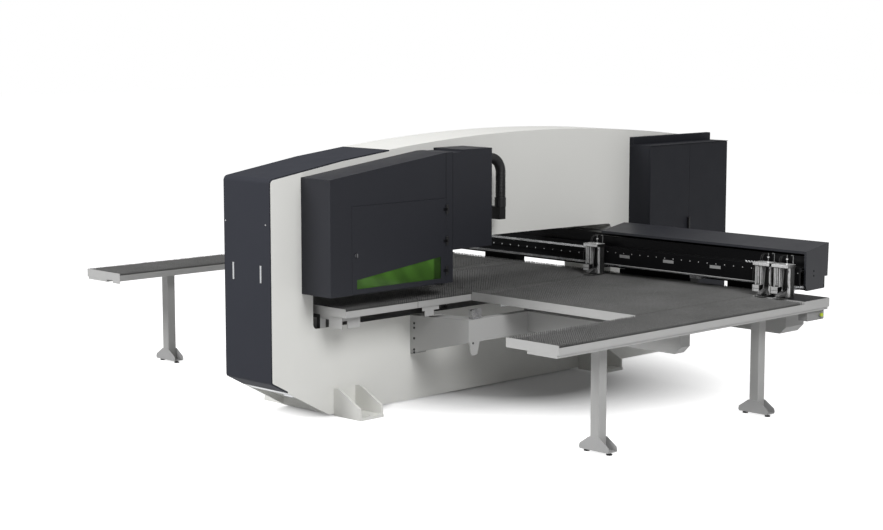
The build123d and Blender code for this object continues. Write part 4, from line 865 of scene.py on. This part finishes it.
# Studio: a white floor that keeps the machine's shadow, a white surround and three soft lamps.
# The camera sees the floor glow, which makes it as white as the surround. The glow fades nearly to nothing in
# two soft ovals, under the tables and under the frame's front toe: a painted shadow, deepest there.
floor_reach = 60.0
floor_mesh = bpy.data.meshes.new("floor")
floor_corners = [(x * floor_reach, y * floor_reach, 0) for x, y in ((-1, -1), (1, -1), (1, 1), (-1, 1))]
floor_mesh.from_pydata(floor_corners, [], [(0, 1, 2, 3)])
floor = bpy.data.objects.new("floor", floor_mesh)
bpy.context.scene.collection.objects.link(floor)
floor_grey = (0.55, 0.55, 0.55, 1)
floor_white, nodes, links, shader = new_material("studio floor", roughness=0.9)
shader.inputs["Base Color"].default_value = floor_grey
path = nodes.new("ShaderNodeLightPath")
seen = maths(nodes, links, "MAXIMUM", path.outputs["Is Camera Ray"], path.outputs["Is Glossy Ray"])
axes = object_axes(nodes, links)[1]
full_glow = 0.88


def oval(half_width, middle, across, along, dark_end, glow_start, least):
    """Floor glow about a place on the frame's line, with a painted shadow: least inside the oval, full
    outside it.

    The oval's distance is sqrt(a^2 + b^2), with a = max(|X| - half_width, 0) / across and
    b = (Y - middle) / along, and the glow rises from dark_end to glow_start."""
    a = maths(nodes, links, "SUBTRACT", maths(nodes, links, "ABSOLUTE", axes["X"]), half_width)
    a = maths(nodes, links, "DIVIDE", maths(nodes, links, "MAXIMUM", a, 0.0), across)
    b = maths(nodes, links, "DIVIDE", maths(nodes, links, "SUBTRACT", axes["Y"], middle), along)
    distance = maths(nodes, links, "SQRT", squares(nodes, links, a, b))
    return remap(nodes, links, distance, dark_end, glow_start, least, full_glow)


# Painted shadow on the floor, under the tables and under the front toe.
tables_painted_shadow = oval(0.3, 0.55, 1.35, 1.5, 0.5, 1.35, 0.04)
toe_painted_shadow = oval(0.2, front + 0.95, 0.25, 0.5, 0.4, 1.15, 0.05)
level = maths(nodes, links, "MINIMUM", tables_painted_shadow, toe_painted_shadow)
glow = nodes.new("ShaderNodeEmission")
both = nodes.new("ShaderNodeAddShader")
links.new(maths(nodes, links, "MULTIPLY", seen, level), glow.inputs["Strength"])
links.new(shader.outputs[0], both.inputs[0])
links.new(glow.outputs[0], both.inputs[1])
links.new(both.outputs[0], nodes["Material Output"].inputs["Surface"])
dress(floor_white, floor)

room_fill = 0.22
glossy_share = 0.2
world = bpy.data.worlds.new("studio")
bpy.context.scene.world = world
world.use_nodes = True
nodes, links = world.node_tree.nodes, world.node_tree.links
path = nodes.new("ShaderNodeLightPath")
direct = maths(nodes, links, "MAXIMUM", path.outputs["Is Camera Ray"], path.outputs["Is Transmission Ray"])
glossy = maths(nodes, links, "MULTIPLY", path.outputs["Is Glossy Ray"], glossy_share)
added = maths(nodes, links, "MAXIMUM", direct, glossy)
strength = maths(nodes, links, "ADD", room_fill, maths(nodes, links, "MULTIPLY", added, 1.0 - room_fill))
links.new(strength, nodes["Background"].inputs["Strength"])
nodes["Background"].inputs["Color"].default_value = (1, 1, 1, 1)


def lamp(name, place, target, size, power):
    """Square area lamp at place, aimed at target."""
    data = bpy.data.lights.new(name, "AREA")
    data.shape = "SQUARE"
    data.size = size
    data.energy = power
    piece = bpy.data.objects.new(name, data)
    bpy.context.scene.collection.objects.link(piece)
    aim = np.array(target, float) - np.array(place, float)
    piece.location = place
    tilt = math.acos(-aim[2] / np.linalg.norm(aim))
    piece.rotation_euler = (tilt, 0, math.atan2(aim[0], -aim[1]) + math.pi)


machine_middle = (0.0, 0.0, 1.0)
lamp("key", (-4.0, -12.0, 9.0), machine_middle, 6.0, 1500)
lamp("side", (11.0, -3.0, 9.0), machine_middle, 6.0, 930)
lamp("top", (0.0, 0.0, 12.0), (0.0, 0.0, 0.0), 10.0, 350)

# Camera: a long lens at standing height with no roll, fitted to the photograph's edges.
# It looks at the machine's front right corner, a little downwards.
camera_data = bpy.data.cameras.new("camera")
camera_data.lens = 76.92
camera_data.sensor_width = 36.0
camera_data.clip_end = 200.0
camera = bpy.data.objects.new("camera", camera_data)
bpy.context.scene.collection.objects.link(camera)
camera.location = (11.8738, front - 9.4206, 3.2391)
camera_drop, camera_turn = 7.3682, 45.6368
camera.rotation_euler = (math.radians(90 - camera_drop), 0, math.radians(camera_turn))
bpy.context.scene.camera = camera

bpy.context.scene.view_settings.view_transform = "Standard"
